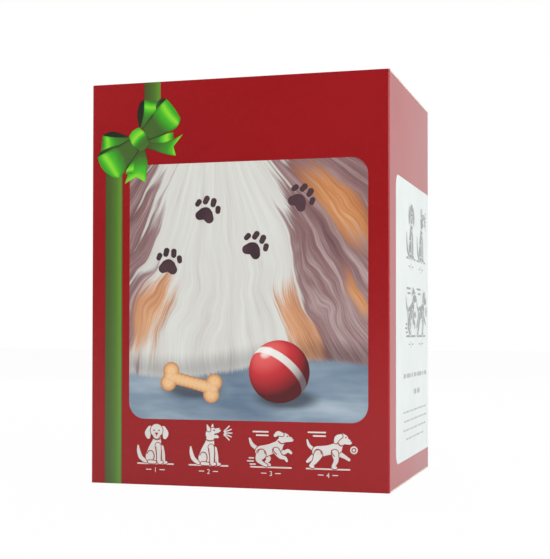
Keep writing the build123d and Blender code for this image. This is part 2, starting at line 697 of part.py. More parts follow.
def body_coat():
    """The plush coat over the chassis: open below for the legs and door, and above for the neck and tail."""
    coat = soft_block((-coat_half_width, coat_half_width), coat_y_pair, (60, coat_z_pair[1]), 14)
    coat -= block((-60, 60), (-80, 90), (50, coat_z_pair[0]))
    coat += Pos(0, neck_y, coat_z_pair[1] - 1) * extrude(RegularPolygon(15.3, 24), 8.4)
    room = block((-38, 38), (-46, 66), (60, chassis_z_pair[1]))
    coat -= chamfer(room.faces().sort_by(Axis.Z)[-1].edges() + room.edges().filter_by(Axis.Z), 4)
    coat -= Pos(0, neck_y, 130) * extrude(RegularPolygon(13, 12), 30)
    return coat - block((-12, 12), (tail_y - 8, tail_y + 8), (130, 150))


# --- Export ---------------------------------------------------------------------------------------------------

def all_pieces():
    """Every node's name and solid."""
    pieces = {
        "carton_sleeve": carton_sleeve(),
        "lid_panel": panel((lid_underside, carton_height)),
        "lid_tuck_flap": tuck_flap((lid_underside - crease_gap / 2 - tuck_length, lid_underside - crease_gap / 2)),
        "bottom_panel": panel((0, board)) + tuck_flap((board / 2, board + tuck_length)),
        "insert_tray": insert_tray(),
        "support_cards": support_cards(),
        "instruction_leaflet": instruction_leaflet(),
        "chassis_screws": chassis_screws(),
        "battery_tray": battery_tray(),
        "battery_cells": battery_cells(),
        "battery_contacts": battery_contacts(),
        "battery_door": battery_door(),
        "battery_door_screw": battery_door_screw(),
        "power_switch": power_switch(),
        "switch_slider": switch_slider(),
        "speaker": speaker(),
        "internal_leads": internal_leads(),
        "circuit_board": circuit_board(),
        "board_components": board_components(),
        "gearbox_plate": gearbox_plate(),
        "motor": motor(),
        "motor_pinion": motor_pinion(),
        "first_gear": first_gear(),
        "second_gear": second_gear(),
        "gear_axles": gear_axles(),
        "crankshaft": crankshaft(),
        "crank_gear": crank_gear(),
        "crank_discs": crank_discs(),
        "hip_axles": hip_axles(),
        "axle_caps": axle_caps(),
        "neck_yoke": yoke(neck_height, neck_y, True),
        "tail_yoke": yoke(tail_height, tail_y, False),
        "pivot_pins": pivot_pins(),
        "tail_core": tail_core(),
        "tail_plush": tail_plush(),
        "head_core": head_core(),
        "head_plush": head_plush(),
        "eyes": eyes(),
        "ears": ears(),
        "nose": nose(),
        "collar": collar(),
        "bow_tie": bow_tie(),
        "body_coat": body_coat(),
    }
    for name, side in (("left", -1), ("right", 1)):
        upper_z_pair = (lid_underside - crease_gap - board, lid_underside - crease_gap)
        pieces[f"dust_flap_{name}"] = dust_flap(upper_z_pair, side)
        pieces[f"chassis_{name}"] = chassis_half(side)
        pieces[f"link_bar_{name}"] = link_bar(side)
        for end, hip_y in (("front", front_hip_y), ("rear", rear_hip_y)):
            pieces[f"leg_core_{end}_{name}"] = leg_core(hip_y, side)
            pieces[f"leg_plush_{end}_{name}"] = leg_sleeve(hip_y, side)
    lower_z_pair = (board + crease_gap / 2, 2 * board + crease_gap / 2)
    pieces["bottom_dust_flaps"] = Compound([dust_flap(lower_z_pair, side) for side in (-1, 1)])
    return pieces


os.makedirs("parts", exist_ok=True)
for name, solid in all_pieces().items():
    export_step(solid, f"parts/{name}.step")
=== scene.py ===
import json
import math
import bmesh
import bpy
from mathutils import Matrix, Vector, noise


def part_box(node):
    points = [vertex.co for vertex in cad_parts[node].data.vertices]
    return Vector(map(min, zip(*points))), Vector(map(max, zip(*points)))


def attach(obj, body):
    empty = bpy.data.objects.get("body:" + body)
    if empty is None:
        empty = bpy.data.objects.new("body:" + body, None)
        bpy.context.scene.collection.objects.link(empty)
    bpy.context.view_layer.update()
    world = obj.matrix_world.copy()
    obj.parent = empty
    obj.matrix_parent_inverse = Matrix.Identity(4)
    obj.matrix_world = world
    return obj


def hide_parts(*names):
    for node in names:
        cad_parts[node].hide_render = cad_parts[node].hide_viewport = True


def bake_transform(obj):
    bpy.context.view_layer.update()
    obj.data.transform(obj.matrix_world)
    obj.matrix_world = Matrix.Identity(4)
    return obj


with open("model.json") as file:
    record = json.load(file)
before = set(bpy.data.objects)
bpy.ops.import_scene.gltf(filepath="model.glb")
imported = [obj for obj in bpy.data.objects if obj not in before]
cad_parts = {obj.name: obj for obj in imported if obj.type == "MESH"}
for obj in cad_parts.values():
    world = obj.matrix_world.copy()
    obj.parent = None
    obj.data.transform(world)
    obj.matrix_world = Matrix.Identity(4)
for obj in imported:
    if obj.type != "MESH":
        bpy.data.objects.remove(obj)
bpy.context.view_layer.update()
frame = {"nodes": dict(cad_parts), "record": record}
nodes = frame["nodes"]
mm = 0.001
print("frame loaded,", len(nodes), "parts")


def ink(red, green, blue):
    # a printed colour, from 0 to 255, as the linear colour that a shader takes
    linear = [(c / 255 / 12.92) if c < 11 else ((c / 255 + 0.055) / 1.055) ** 2.4 for c in (red, green, blue)]
    return (*linear, 1)


# shader maths
def arithmetic(operation, swapped=False):
    def method(self, other=0.0):
        return self.owner.maths(operation, *((other, self) if swapped else (self, other)))
    return method


class Wire:  # a socket's output, with arithmetic: each operator adds one Math node
    def __init__(self, owner, socket):
        self.owner = owner
        self.socket = socket

    __add__ = arithmetic("ADD")
    __radd__ = arithmetic("ADD", True)
    __sub__ = arithmetic("SUBTRACT")
    __rsub__ = arithmetic("SUBTRACT", True)
    __mul__ = arithmetic("MULTIPLY")
    __rmul__ = arithmetic("MULTIPLY", True)
    __truediv__ = arithmetic("DIVIDE")
    __rtruediv__ = arithmetic("DIVIDE", True)
    __gt__ = arithmetic("GREATER_THAN")
    __lt__ = arithmetic("LESS_THAN")
    __mod__ = arithmetic("FLOORED_MODULO")
    least = arithmetic("MINIMUM")
    most = arithmetic("MAXIMUM")
    size = arithmetic("ABSOLUTE")
    wave = arithmetic("SINE")
    cosine = arithmetic("COSINE")
    root = arithmetic("SQRT")

    def step(self, low, high):  # 0 below low, 1 above high, smooth between them
        return self.owner.node("MapRange", {"interpolation_type": "SMOOTHSTEP"}, {0: self, 1: low, 2: high})


class Nodes:  # a node tree, and one method that makes any node in it
    def __init__(self, tree):
        self.tree = tree

    def node(self, kind, settings=None, values=None, out=0):
        made = self.tree.nodes.new("ShaderNode" + kind)
        for name, value in (settings or {}).items():
            if name == "stops":
                ramp = made.color_ramp
                while len(ramp.elements) < len(value):
                    ramp.elements.new(0.5)
                for element, (place, colour) in zip(ramp.elements, value):
                    element.position = place
                    element.color = colour
            else:
                setattr(made, name, value)
        for key, value in (values or {}).items():
            if isinstance(value, Wire):
                self.tree.links.new(value.socket, made.inputs[key])
            else:
                made.inputs[key].default_value = value
        return Wire(self, made.outputs[out])

    def maths(self, operation, *values):
        return self.node("Math", {"operation": operation}, dict(enumerate(values)))

    def place(self, kind="Object"):
        return self.node("TexCoord", out=kind)

    def axes(self, vector=None):
        split = self.node("SeparateXYZ", values={0: vector or self.place()})
        return [Wire(self, output) for output in split.socket.node.outputs]

    def point(self, x, y, z):
        return self.node("CombineXYZ", values={0: x, 1: y, 2: z})

    def stretch(self, scale, turn=(0, 0, 0), shift=(0, 0, 0), vector=None):
        return self.node("Mapping", values={0: vector or self.place(), 1: shift, 2: turn, 3: scale})

    def noise(self, scale, detail=3.0, rough=0.5, vector=None, distortion=0.0):
        values = {"Vector": vector or self.place(), "Scale": scale, "Detail": detail, "Roughness": rough,
                  "Distortion": distortion}
        return self.node("TexNoise", values=values)

    def cells(self, scale, vector=None, out="Distance", **settings):
        return self.node("TexVoronoi", settings, {"Vector": vector or self.place(), "Scale": scale}, out)

    def ramp(self, value, *stops):
        return self.node("ValToRGB", {"stops": stops}, {0: value})

    def mix(self, share, first, second, blendType="MIX"):
        settings = {"data_type": "RGBA", "blend_type": blendType}
        return self.node("Mix", settings, {0: share, 6: first, 7: second}, 2)

    def relief(self, height):  # height in metres
        return self.node("Bump", values={"Height": height, "Strength": 1.0, "Distance": 1.0})


shaderSockets = {
    "colour": "Base Color", "roughness": "Roughness", "metallic": "Metallic", "coat": "Coat Weight",
    "coatRoughness": "Coat Roughness", "specular": "Specular IOR Level", "sheen": "Sheen Weight",
    "sheenRoughness": "Sheen Roughness", "normal": "Normal",
}


class Finish(Nodes):  # one material: its shader, and the nodes that feed it
    def __init__(self, name, **constants):
        self.material = bpy.data.materials.new(name)
        self.material.use_nodes = True
        super().__init__(self.material.node_tree)
        self.shader = self.tree.nodes["Principled BSDF"]
        for word, value in constants.items():
            self.shader.inputs[shaderSockets[word]].default_value = value

    def feed(self, **wires):
        for word, wire in wires.items():
            self.tree.links.new(wire.socket, self.shader.inputs[shaderSockets[word]])
        return self


def setFinish(piece, *finishes):
    if len(piece.data.materials):
        piece.data.materials.clear()
    for finish in finishes:
        piece.data.materials.append(finish.material)
    return piece


def linked(name, data):
    made = bpy.data.objects.new(name, data)
    bpy.context.scene.collection.objects.link(made)
    return made


def asObject(bm, name):
    mesh = bpy.data.meshes.new(name)
    bm.to_mesh(mesh)
    bm.free()
    return linked(name, mesh)


def takenApart(carrier):
    # an object's mesh with its modifiers applied; the object goes
    bpy.context.view_layer.update()
    flat = bpy.data.meshes.new_from_object(carrier.evaluated_get(bpy.context.evaluated_depsgraph_get()))
    bm = bmesh.new()
    bm.from_mesh(flat)
    bpy.data.objects.remove(carrier)
    bpy.data.meshes.remove(flat)
    bm.verts.ensure_lookup_table()
    return bm


def outwards(bm):
    bmesh.ops.recalc_face_normals(bm, faces=bm.faces)


def smoothed(bm):
    for face in bm.faces:
        face.smooth = True
    return bm


# finishes of the carton
boardLook = {
    "red": ink(147, 10, 18), "warmRed": ink(158, 16, 23), "greyBoard": ink(186, 180, 170),
    "core": ink(214, 206, 194), "creaseWearAndHighlight": ink(205, 92, 88), "creaseBandWidth": 0.9 * mm,
    "wearAndHighlight": 0.35, "specular": 0.28, "bareRoughness": 0.85, "pulp": 0.02 * mm,
}
laminate = {"coat": 0.28, "coatRoughness": 0.16}
gloss = {"roughness": 0.34, "drift": 0.1, "driftScale": 9, "fibre": 0.05, "fibreScale": 1400}
carton = {
    "sideSwell": 1.1 * mm, "frontSwell": 0.5 * mm, "ripple": 0.03 * mm, "fibre": 0.0012 * mm,
    "crease": 1.2 * mm, "ripples": (31, 17, 43, 29),
}
sleeveLow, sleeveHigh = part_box("carton_sleeve")
cartonHeight = sleeveHigh.z


def boardSwell(finish):
    # walls of board are never quite flat: they swell a little between their creases, and ripple
    x, y, z = finish.axes()
    side = x.size() > sleeveHigh.x - 0.6 * mm
    swell = side * (y * (math.pi / (2 * sleeveHigh.y))).cosine() * carton["sideSwell"]
    swell = swell + (1 - side) * (x * (math.pi / (2 * sleeveHigh.x))).cosine() * carton["frontSwell"]
    a, b, c, d = carton["ripples"]
    return swell + ((x * a + z * b).wave() + (z * c - y * d).wave()) * carton["ripple"]


def laminated(finish):
    # the laminate over the print, with the board's swell and its fibres showing through
    drift = finish.noise(gloss["driftScale"], 2)
    fibres = finish.noise(gloss["fibreScale"], 2, 0.6)
    uneven = (drift - 0.5) * gloss["drift"]
    return finish.feed(roughness=gloss["roughness"] + uneven + (fibres - 0.5) * gloss["fibre"],
                       normal=finish.relief(boardSwell(finish) + fibres * carton["fibre"]))


def printedBoard(name, printedSide):
    finish = Finish(name, specular=boardLook["specular"], **laminate)
    x, y, z = finish.axes()
    nx, ny, nz = finish.axes(finish.place("Normal"))
    halfWidth, halfDepth = sleeveHigh.x, sleeveHigh.y
    if printedSide == "around":
        nearWall = (x.size() - (halfWidth - 0.5 * mm)).most(y.size() - (halfDepth - 0.5 * mm)) > 0
        printed = nearWall * (nz.size() < 0.5)
        cut = nz.size() > 0.5
        fromCrease = (halfWidth - x.size()).most(halfDepth - y.size())
    else:
        along = {"top": nz, "under": nz * -1, "front": ny * -1}[printedSide]
        printed = along > 0.25
        cut = nx.size() > 0.7
        fromCrease = halfDepth - y.size()
    blotch = finish.noise(7, 3) * 0.7 + finish.noise(320, 2) * 0.3
    red = finish.mix(blotch.step(0.3, 0.72), boardLook["red"], boardLook["warmRed"])
    # paler red flecks in a band along the creases: rubbed wear, and a painted highlight along the crease
    scuffsAndHighlight = finish.noise(900, 4, 0.7).step(0.52, 0.62) * (1 - fromCrease.step(0, boardLook["creaseBandWidth"]))
    red = finish.mix(scuffsAndHighlight * boardLook["wearAndHighlight"], red, boardLook["creaseWearAndHighlight"])
    pulp = finish.noise(650, 5, 0.65)
    grey = finish.mix(pulp.step(0.3, 0.7), boardLook["greyBoard"], boardLook["core"])
    bare = finish.mix(cut, grey, boardLook["core"])
    finish.feed(colour=finish.mix(printed, bare, red))
    drift = finish.noise(gloss["driftScale"], 2)
    smoother = boardLook["bareRoughness"] - gloss["roughness"]
    finish.feed(roughness=boardLook["bareRoughness"] - printed * (smoother - (drift - 0.5) * gloss["drift"]))
    fibres = finish.noise(gloss["fibreScale"], 2, 0.6)
    bareRelief = pulp * (1 - printed) * boardLook["pulp"]
    height = boardSwell(finish) * printed + fibres * printed * carton["fibre"] + bareRelief
    return finish.feed(normal=finish.relief(height))


def plainInk(name, colour, other):
    finish = Finish(name, **laminate)
    tone = finish.noise(45, 3)
    finish.feed(colour=finish.mix(tone.step(0.3, 0.7), colour, other))
    return laminated(finish)


# flat print, laid on the carton's walls a few hundredths of a millimetre thick
flatPrint = {"step": 0.03 * mm, "hull": 0.001 * mm, "sunk": 0.02 * mm, "merge": 0.002 * mm, "margin": 0.15}


def frontWall(across, up, lift):
    return Vector((across, sleeveLow.y - lift, up))


def backWall(across, up, lift):
    return Vector((-across, sleeveHigh.y + lift, up))


def lidTop(across, up, lift):
    return Vector((across, up, cartonHeight + lift))


def rightWall(across, up, lift):
    # runs back along the right side, turns round the rear crease and goes on over the back
    straight = sleeveHigh.y - carton["crease"]
    bend = carton["crease"] * math.pi / 2
    if across <= straight:
        return Vector((sleeveHigh.x + lift, across, up))
    corner = Vector((sleeveHigh.x - carton["crease"], straight, up))
    if across >= straight + bend:
        return corner + Vector((straight + bend - across, carton["crease"] + lift, 0))
    turn = (across - straight) / carton["crease"]
    return corner + (carton["crease"] + lift) * Vector((math.cos(turn), math.sin(turn), 0))


def onWall(bm, wall, level, creaseCuts=()):
    # a flat mesh in x and y, in metres, becomes a closed sheet of print on a wall
    for cut in creaseCuts:
        everything = bm.verts[:] + bm.edges[:] + bm.faces[:]
        bmesh.ops.bisect_plane(bm, geom=everything, dist=0.0001 * mm, plane_co=(cut, 0, 0),
                               plane_no=(1, 0, 0))
    bmesh.ops.remove_doubles(bm, verts=bm.verts, dist=flatPrint["merge"])
    outwards(bm)
    if sum(face.normal.z for face in bm.faces) < 0:
        bmesh.ops.reverse_faces(bm, faces=bm.faces)
    below = bm.faces[:]
    raised = bmesh.ops.extrude_face_region(bm, geom=below, use_keep_orig=True)["geom"]
    top = {v for v in raised if isinstance(v, bmesh.types.BMVert)}
    bmesh.ops.reverse_faces(bm, faces=below)
    for vert in bm.verts:
        lift = vert.co.z + flatPrint["step"] * (level + 1) if vert in top else -flatPrint["sunk"] - vert.co.z
        vert.co = wall(vert.co.x, vert.co.y, lift)
    outwards(bm)


def finished(bm, name, body, *finishes, slot="printed_board"):
    piece = setFinish(asObject(bm, name), *finishes)
    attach(piece, body)
    return piece


def printedPanel(name, body, wall, finish, left, right, bottom, top, radius=0, creaseCuts=()):
    # a rectangle of print with round corners, in metres
    bm = bmesh.new()
    bmesh.ops.create_grid(bm, x_segments=1, y_segments=1, size=0.5)
    middle = Matrix.Translation(((left + right) / 2, (bottom + top) / 2, 0))
    spread = Matrix.Diagonal((right - left, top - bottom, 1, 1))
    bmesh.ops.transform(bm, matrix=middle @ spread, verts=bm.verts)
    if radius:
        bmesh.ops.bevel(bm, geom=bm.verts[:], offset=radius, segments=8, profile=0.5, affect="VERTICES",
                        material=-1)
    onWall(bm, wall, 0, creaseCuts)
    return finished(bm, name, body, finish)


def through(points, share):
    # a point at a share of the way along a smooth line through the given points
    last = len(points) - 1
    place = min(max(share, 0.0), 1.0) * last
    index = min(int(place), last - 1)
    t = place - index
    p0, p1, p2, p3 = (Vector(points[min(max(index + k, 0), last)]) for k in (-1, 0, 1, 2))
    if index == 0:
        p0 = 2 * p1 - p2
    if index == last - 1:
        p3 = 2 * p2 - p1
    slope1, slope2 = (p2 - p0) / 2, (p3 - p1) / 2
    return ((2 * t ** 3 - 3 * t ** 2 + 1) * p1 + (t ** 3 - 2 * t ** 2 + t) * slope1
            + (3 * t ** 2 - 2 * t ** 3) * p2 + (t ** 3 - t ** 2) * slope2)


def between(stops, share):
    # a value read off a list of (place, value) stops
    for (start, low), (end, high) in zip(stops, stops[1:]):
        if share <= end:
            return low + (high - low) * (share - start) / (end - start)
    return stops[-1][1]


# the printed gift ribbon and its bow
ribbon = {
    "upperBand": (-64.7, -53.0), "lowerBand": (-92.7, -80.2), "bandTop": 216.0, "upperBandFoot": 250.0,
    "bandWidth": 12.1, "bandChange": 225.0,
    "loopTones": ((0, 0.26), (0.42, 0.25), (0.58, 0.48), (0.72, 0.62), (0.85, 0.9), (0.93, 0.68), (1, 0.5)),
    "backTones": ((0, 0.24), (0.42, 0.36), (0.62, 0.6), (0.78, 0.86), (0.92, 0.6), (1, 0.32)),
    "tailTones": ((0, 0.2), (0.3, 0.27), (0.6, 0.46), (0.85, 0.66), (0.96, 0.86), (1, 0.8)),
    "foldTones": ((0, 0.24), (0.36, 0.32), (0.56, 0.64), (0.76, 0.9), (0.92, 0.64), (1, 0.46)),
    "knotTones": ((0, 0.55), (0.14, 0.72), (0.3, 0.9), (0.44, 0.6), (0.58, 0.34), (0.8, 0.26), (1, 0.3)),
    "hollow": ((0, 0.03), (1, 0.08)), "dusk": ((0, 0.22), (0.5, 0.14), (1, 0.08)),
}

# each strip of the bow: its two edges in millimetres across and up the front, its tones, its layer, and how
# far its two ends swell out, or are notched, at the middle
bowStrips = {
    "upperHollow": dict(
        a=((-65.2, 258.5), (-68.0, 256.2), (-69.7, 249.0), (-68.6, 240.0)),
        b=((-65.0, 258.2), (-64.8, 252.5), (-64.9, 246.5), (-66.8, 240.6)), tones="hollow", layer=1),
    "lowerHollow": dict(
        a=((-94.4, 236.1), (-88.4, 238.0), (-82.6, 236.7), (-76.6, 234.4)),
        b=((-94.7, 235.3), (-89.0, 234.3), (-83.0, 233.9), (-76.6, 233.2)), tones="hollow", layer=1),
    "upperBack": dict(
        a=((-67.6, 240.0), (-65.8, 246.0), (-64.9, 252.0), (-64.8, 258.4)),
        b=((-64.2, 239.0), (-59.4, 245.6), (-54.2, 251.4), (-50.6, 256.2)), tones="backTones", layer=2),
    "lowerBack": dict(
        a=((-76.0, 233.6), (-84.0, 233.9), (-90.0, 234.6), (-95.0, 235.7)),
        b=((-75.6, 231.4), (-82.0, 228.6), (-89.6, 225.0), (-96.6, 222.0)), tones="backTones", layer=2),
    "rightTail": dict(
        a=((-61.2, 229.8), (-54.0, 229.0), (-47.5, 229.6), (-42.5, 231.4), (-37.1, 234.0)),
        b=((-63.4, 225.8), (-57.4, 223.8), (-51.0, 221.7), (-46.4, 220.6), (-42.0, 219.9)),
        tones="tailTones", layer=2, end=-4.4),
    "lowerTail": dict(
        a=((-64.0, 225.8), (-62.9, 220.4), (-62.3, 214.2), (-63.8, 202.7)),
        b=((-69.6, 223.4), (-72.6, 217.6), (-75.6, 211.0), (-78.6, 202.2)),
        tones="tailTones", layer=2, end=-4.2),
    "rightFold": dict(
        a=((-61.4, 230.9), (-55.5, 233.1), (-49.5, 234.7), (-43.7, 235.6)),
        b=((-61.4, 229.2), (-55.5, 228.7), (-49.5, 229.1), (-43.9, 231.2)), tones="foldTones", layer=3),
    "lowerFold": dict(
        a=((-69.0, 223.4), (-70.9, 217.5), (-71.9, 213.0), (-73.1, 208.9)),
        b=((-70.4, 223.0), (-74.4, 216.6), (-77.2, 211.9), (-78.0, 208.6)), tones="foldTones", layer=3),
    "upperShade": dict(
        a=((-56.2, 254.6), (-53.4, 258.2), (-49.6, 258.8)),
        b=((-56.4, 250.8), (-52.4, 254.4), (-48.9, 258.0)), tones="dusk", layer=3),
    "lowerShade": dict(
        a=((-84.0, 228.9), (-94.4, 225.6), (-98.6, 222.0)),
        b=((-84.2, 228.0), (-93.0, 223.4), (-98.4, 221.0)), tones="dusk", layer=3),
    "upperLoop": dict(
        a=((-66.0, 239.0), (-60.8, 245.9), (-55.5, 251.9), (-48.9, 258.3)),
        b=((-61.6, 231.2), (-53.4, 233.2), (-46.6, 235.9), (-41.4, 239.0), (-38.6, 244.4)),
        tones="loopTones", layer=4, end=0.7),
    "lowerLoop": dict(
        a=((-75.4, 232.0), (-82.0, 229.0), (-90.2, 225.0), (-98.5, 221.2)),
        b=((-68.6, 224.0), (-73.0, 217.6), (-78.4, 210.8), (-82.0, 207.2), (-86.2, 206.2)),
        tones="loopTones", layer=4, end=2.8),
    "knot": dict(
        a=((-75.9, 233.6), (-73.4, 228.6), (-70.8, 225.4), (-68.2, 223.4)),
        b=((-68.1, 239.9), (-64.7, 236.6), (-62.1, 233.0), (-60.8, 229.4)),
        tones="knotTones", layer=5, start=-1.3, end=1.2),
}


def ribbonInk():
    finish = Finish("ribbonPrint", **laminate)
    tone = finish.node("Attribute", {"attribute_name": "tone"}, out="Fac")
    weft = finish.noise(1.0, 2, 0.5, finish.stretch((420, 420, 420)))
    finish.feed(colour=finish.ramp(
        tone + (weft - 0.5) * 0.03,
        (0.0, ink(14, 20, 12)), (0.12, ink(34, 52, 22)), (0.26, ink(68, 102, 38)), (0.48, ink(56, 150, 30)),
        (0.66, ink(72, 192, 34)), (0.9, ink(146, 222, 46)), (1.0, ink(196, 236, 92))))
    return laminated(finish)


def bandInk():
    finish = Finish("bandPrint", **laminate)
    x, y, z = finish.axes()
    upper = (z > ribbon["bandChange"] * mm).most(y > 0)
    start = (ribbon["lowerBand"][0] + upper * (ribbon["upperBand"][0] - ribbon["lowerBand"][0])) * mm
    green = finish.ramp(
        (x - start) / (ribbon["bandWidth"] * mm),
        (0.0, ink(50, 66, 26)), (0.05, ink(70, 84, 36)), (0.3, ink(72, 95, 34)), (0.62, ink(78, 117, 38)),
        (0.86, ink(96, 142, 44)), (0.95, ink(106, 138, 50)), (1.0, ink(82, 92, 38)))
    lengthwise = finish.noise(1.0, 3, 0.6, finish.stretch((900, 30, 30)))
    finish.feed(colour=finish.mix((lengthwise - 0.35) * 0.3, green, ink(150, 176, 70), "SOFT_LIGHT"))
    return laminated(finish)


def bowStrip(name, a, b, tones, layer, start=0.0, end=0.0):
    bm = bmesh.new()
    toneLayer = bm.verts.layers.float.new("tone")
    bmesh.ops.create_grid(bm, x_segments=28, y_segments=10, size=0.5)
    stops = ribbon[tones]
    for vert in bm.verts:
        along, side = vert.co.x + 0.5, vert.co.y + 0.5
        near, far = through(a, along), through(b, along)
        ahead = (through(a, along + 0.02) + through(b, along + 0.02)
                 - through(a, along - 0.02) - through(b, along - 0.02)).normalized()
        ridge = 1 - abs(2 * side - 1)
        crown = ridge if min(start, end) < -2 else math.sin(math.pi * side)
        spot = near.lerp(far, side) + ahead * crown * (start * (1 - along) ** 6 + end * along ** 6)
        vert.co = (spot.x * mm, spot.y * mm, 0)
        tone = between(stops, min(1, along + 0.05 * math.sin(3 * side)))
        vert[toneLayer] = tone - 0.16 * (1 - min(1, min(side, 1 - side) / 0.08))
    onWall(bm, frontWall, layer)
    return finished(bm, "bow" + name[0].upper() + name[1:], "carton", bowFinish)


bowFinish = ribbonInk()
bandFinish = bandInk()
for name, strip in bowStrips.items():
    bowStrip(name, **strip)

margin = flatPrint["margin"] * mm
left, right = (edge * mm for edge in ribbon["lowerBand"])
printedPanel("ribbonLower", "carton", frontWall, bandFinish, left, right, margin, ribbon["bandTop"] * mm)
left, right = (edge * mm for edge in ribbon["upperBand"])
printedPanel("ribbonUpper", "carton", frontWall, bandFinish, left, right, ribbon["upperBandFoot"] * mm,
             cartonHeight - margin)
lidLow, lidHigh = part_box("lid_panel")
lidFront, lidBack = lidLow.y + 0.2 * mm, lidHigh.y - 0.75 * mm
printedPanel("ribbonOverLid", "lid", lidTop, bandFinish, left, right, lidFront, lidBack)
printedPanel("ribbonDownBack", "carton", backWall, bandFinish, -right, -left, carton["crease"],
             cartonHeight - carton["crease"])
print("ribbon and bow printed")


# the picture on the front: a fluffy coat over a blue rug, with a ball, a chew bone and paw prints
picture = {
    "left": -75.0, "right": 88.6, "bottom": 44.0, "top": 214.4, "corner": 11.0, "parting": (0.38, 1.3),
    "rugTop": 0.2,
    "tanLocks": ((0.8, 0.7, 0.075), (-0.3, 0.93, 0.065), (0.37, 1.0, 0.06), (0.62, 1.02, 0.04)),
}


def pictureMm(across, up):
    return (picture["left"] + across * (picture["right"] - picture["left"]),
            picture["bottom"] + up * (picture["top"] - picture["bottom"]))


ball = {
    "centre": pictureMm(0.64, 0.19), "radius": 20.5, "lamp": (-0.42, 0.62, 0.66), "stripe": (0.5, 0.62, 0.36),
}
bone = {
    "middle": pictureMm(0.27, 0.145), "half": 15.5, "turn": math.radians(-14), "knob": 5.6, "knobOut": 4.2,
    "shaft": 4.4, "waist": 0.92,
}
# soft shades on the rug, as (x, z, half width, half height) in millimetres
toyShades = (
    (ball["centre"][0] + 5, ball["centre"][1] - 17.5, 27, 9),
    (bone["middle"][0] + 1.5, bone["middle"][1] - 4, 27, 9),
)


def pictureInk():
    finish = Finish("picturePrint", **laminate)
    x, y, z = finish.axes()
    across = (x - picture["left"] * mm) / ((picture["right"] - picture["left"]) * mm)
    up = (z - picture["bottom"] * mm) / ((picture["top"] - picture["bottom"]) * mm)
    flat = finish.point(across, up, 0)
    # the hair runs out from a parting above the picture, in wavy locks
    dx, dy = across - picture["parting"][0], picture["parting"][1] - up
    drift = finish.noise(3.2, 2, 0.5, flat) - 0.5
    reach = (dx * dx + dy * dy).root()
    angle = finish.maths("ARCTAN2", dx, dy) + drift * 0.15 + (reach * 8.0 + drift * 5).wave() * 0.02
    locks = finish.noise(1.0, 3, 0.55, finish.point(angle * 18, reach * 1.5, 0))
    hairs = finish.noise(1.0, 5, 0.78, finish.point(angle * 160, reach * 3.0, 3.0))
    lay = locks * 0.55 + hairs * 0.45
    zone = finish.noise(2.1, 3, 0.55, flat)
    fromMiddle = (across - picture["parting"][0]).size() + up * 0.2
    sides = (fromMiddle + (zone - 0.5) * 0.26 + (locks - 0.5) * 0.5 + (hairs - 0.5) * 0.16).step(0.4, 0.46)
    white = finish.ramp(lay, (0.3, ink(188, 178, 174)), (0.42, ink(210, 208, 202)), (0.6, ink(222, 224, 218)))
    mauve = finish.ramp(
        lay, (0.3, ink(74, 50, 56)), (0.42, ink(112, 80, 84)), (0.52, ink(142, 108, 108)),
        (0.68, ink(196, 178, 176)))
    tan = finish.ramp(lay, (0.3, ink(140, 76, 40)), (0.46, ink(204, 130, 68)), (0.66, ink(234, 188, 140)))
    hair = finish.mix(sides, white, mauve)
    for lockAngle, lockReach, width in picture["tanLocks"]:
        beside, along = (angle - lockAngle) * reach, (reach - lockReach) * 0.36
        away = (beside * beside + along * along).root() + (hairs - 0.5) * 0.12 + (locks - 0.5) * 0.16
        hair = finish.mix((1 - away.step(width * 0.5, width * 1.25)) * 0.85, hair, tan)
    # the rug below, in soft folds, shaded where the hair and the toys lie on it
    edge = up - picture["rugTop"] + (across * 5.2 + 0.6).wave() * 0.035 + (hairs - 0.5) * 0.05
    folds = finish.noise(1.0, 3, 0.5, finish.point(across * 2.4 + up * 2, up * 9, 1.0))
    rug = finish.ramp(folds, (0.3, ink(96, 118, 140)), (0.5, ink(128, 148, 166)), (0.7, ink(170, 186, 198)))
    nap = finish.noise(160, 3, 0.6, flat)
    rug = finish.mix((nap - 0.4) * 0.4, rug, ink(196, 208, 214), "SOFT_LIGHT")
    colour = finish.mix(1 - edge.step(-0.012, 0.012), hair, rug)
    shade = (1 - (edge - 0.03).size().step(0.0, 0.07)) * 0.35
    for spotX, spotZ, wide, high in toyShades:
        sx, sz = (x - spotX * mm) / (wide * mm), (z - spotZ * mm) / (high * mm)
        shade = shade.most((1 - (sx * sx + sz * sz).root().step(0.45, 1.0)) * 0.75)
    finish.feed(colour=finish.mix(shade, colour, ink(74, 66, 84), "MULTIPLY"))
    return laminated(finish)


def blob(bm, circles, grow=0.0, steps=3):
    # a flat shape swept through (x, y, radius) circles, in millimetres: a run of hulls, each a hair
    # above the last
    count = steps * (len(circles) - 1)
    spots = [through(circles, k / count) for k in range(count + 1)] if count else [Vector(circles[0])]
    for index, (first, second) in enumerate(zip(spots, spots[1:] or spots)):
        reach = (second - first).xy
        spread = 0.0
        if reach.length > abs(first.z - second.z):
            spread = math.acos((first.z - second.z) / reach.length)
        elif second.z > first.z:
            first = second
        heading = math.atan2(reach.y, reach.x)
        disc = bmesh.ops.create_circle(bm, cap_ends=True, segments=40 if count else 64, radius=1.0)
        for vert in disc["verts"]:
            turn = math.atan2(vert.co.y, vert.co.x)
            spot = second if abs(turn) < spread else first
            radius = (spot.z + grow) * mm
            turn += heading
            vert.co = (spot.x * mm + radius * math.cos(turn), spot.y * mm + radius * math.sin(turn),
                       index * flatPrint["hull"])


def printedShape(name, circleLists, finish):
    bm = bmesh.new()
    for index, circles in enumerate(circleLists):
        part = bmesh.new()
        blob(part, circles)
        onWall(part, frontWall, 2 + 0.3 * index)
        joinInto(bm, part)
    return finished(bm, name, "carton", finish)


def joinInto(bm, part, materialIndex=0):
    scratch = bpy.data.meshes.new("scratch")
    for face in part.faces:
        face.material_index = materialIndex
    part.to_mesh(scratch)
    part.free()
    bm.from_mesh(scratch)
    bpy.data.meshes.remove(scratch)


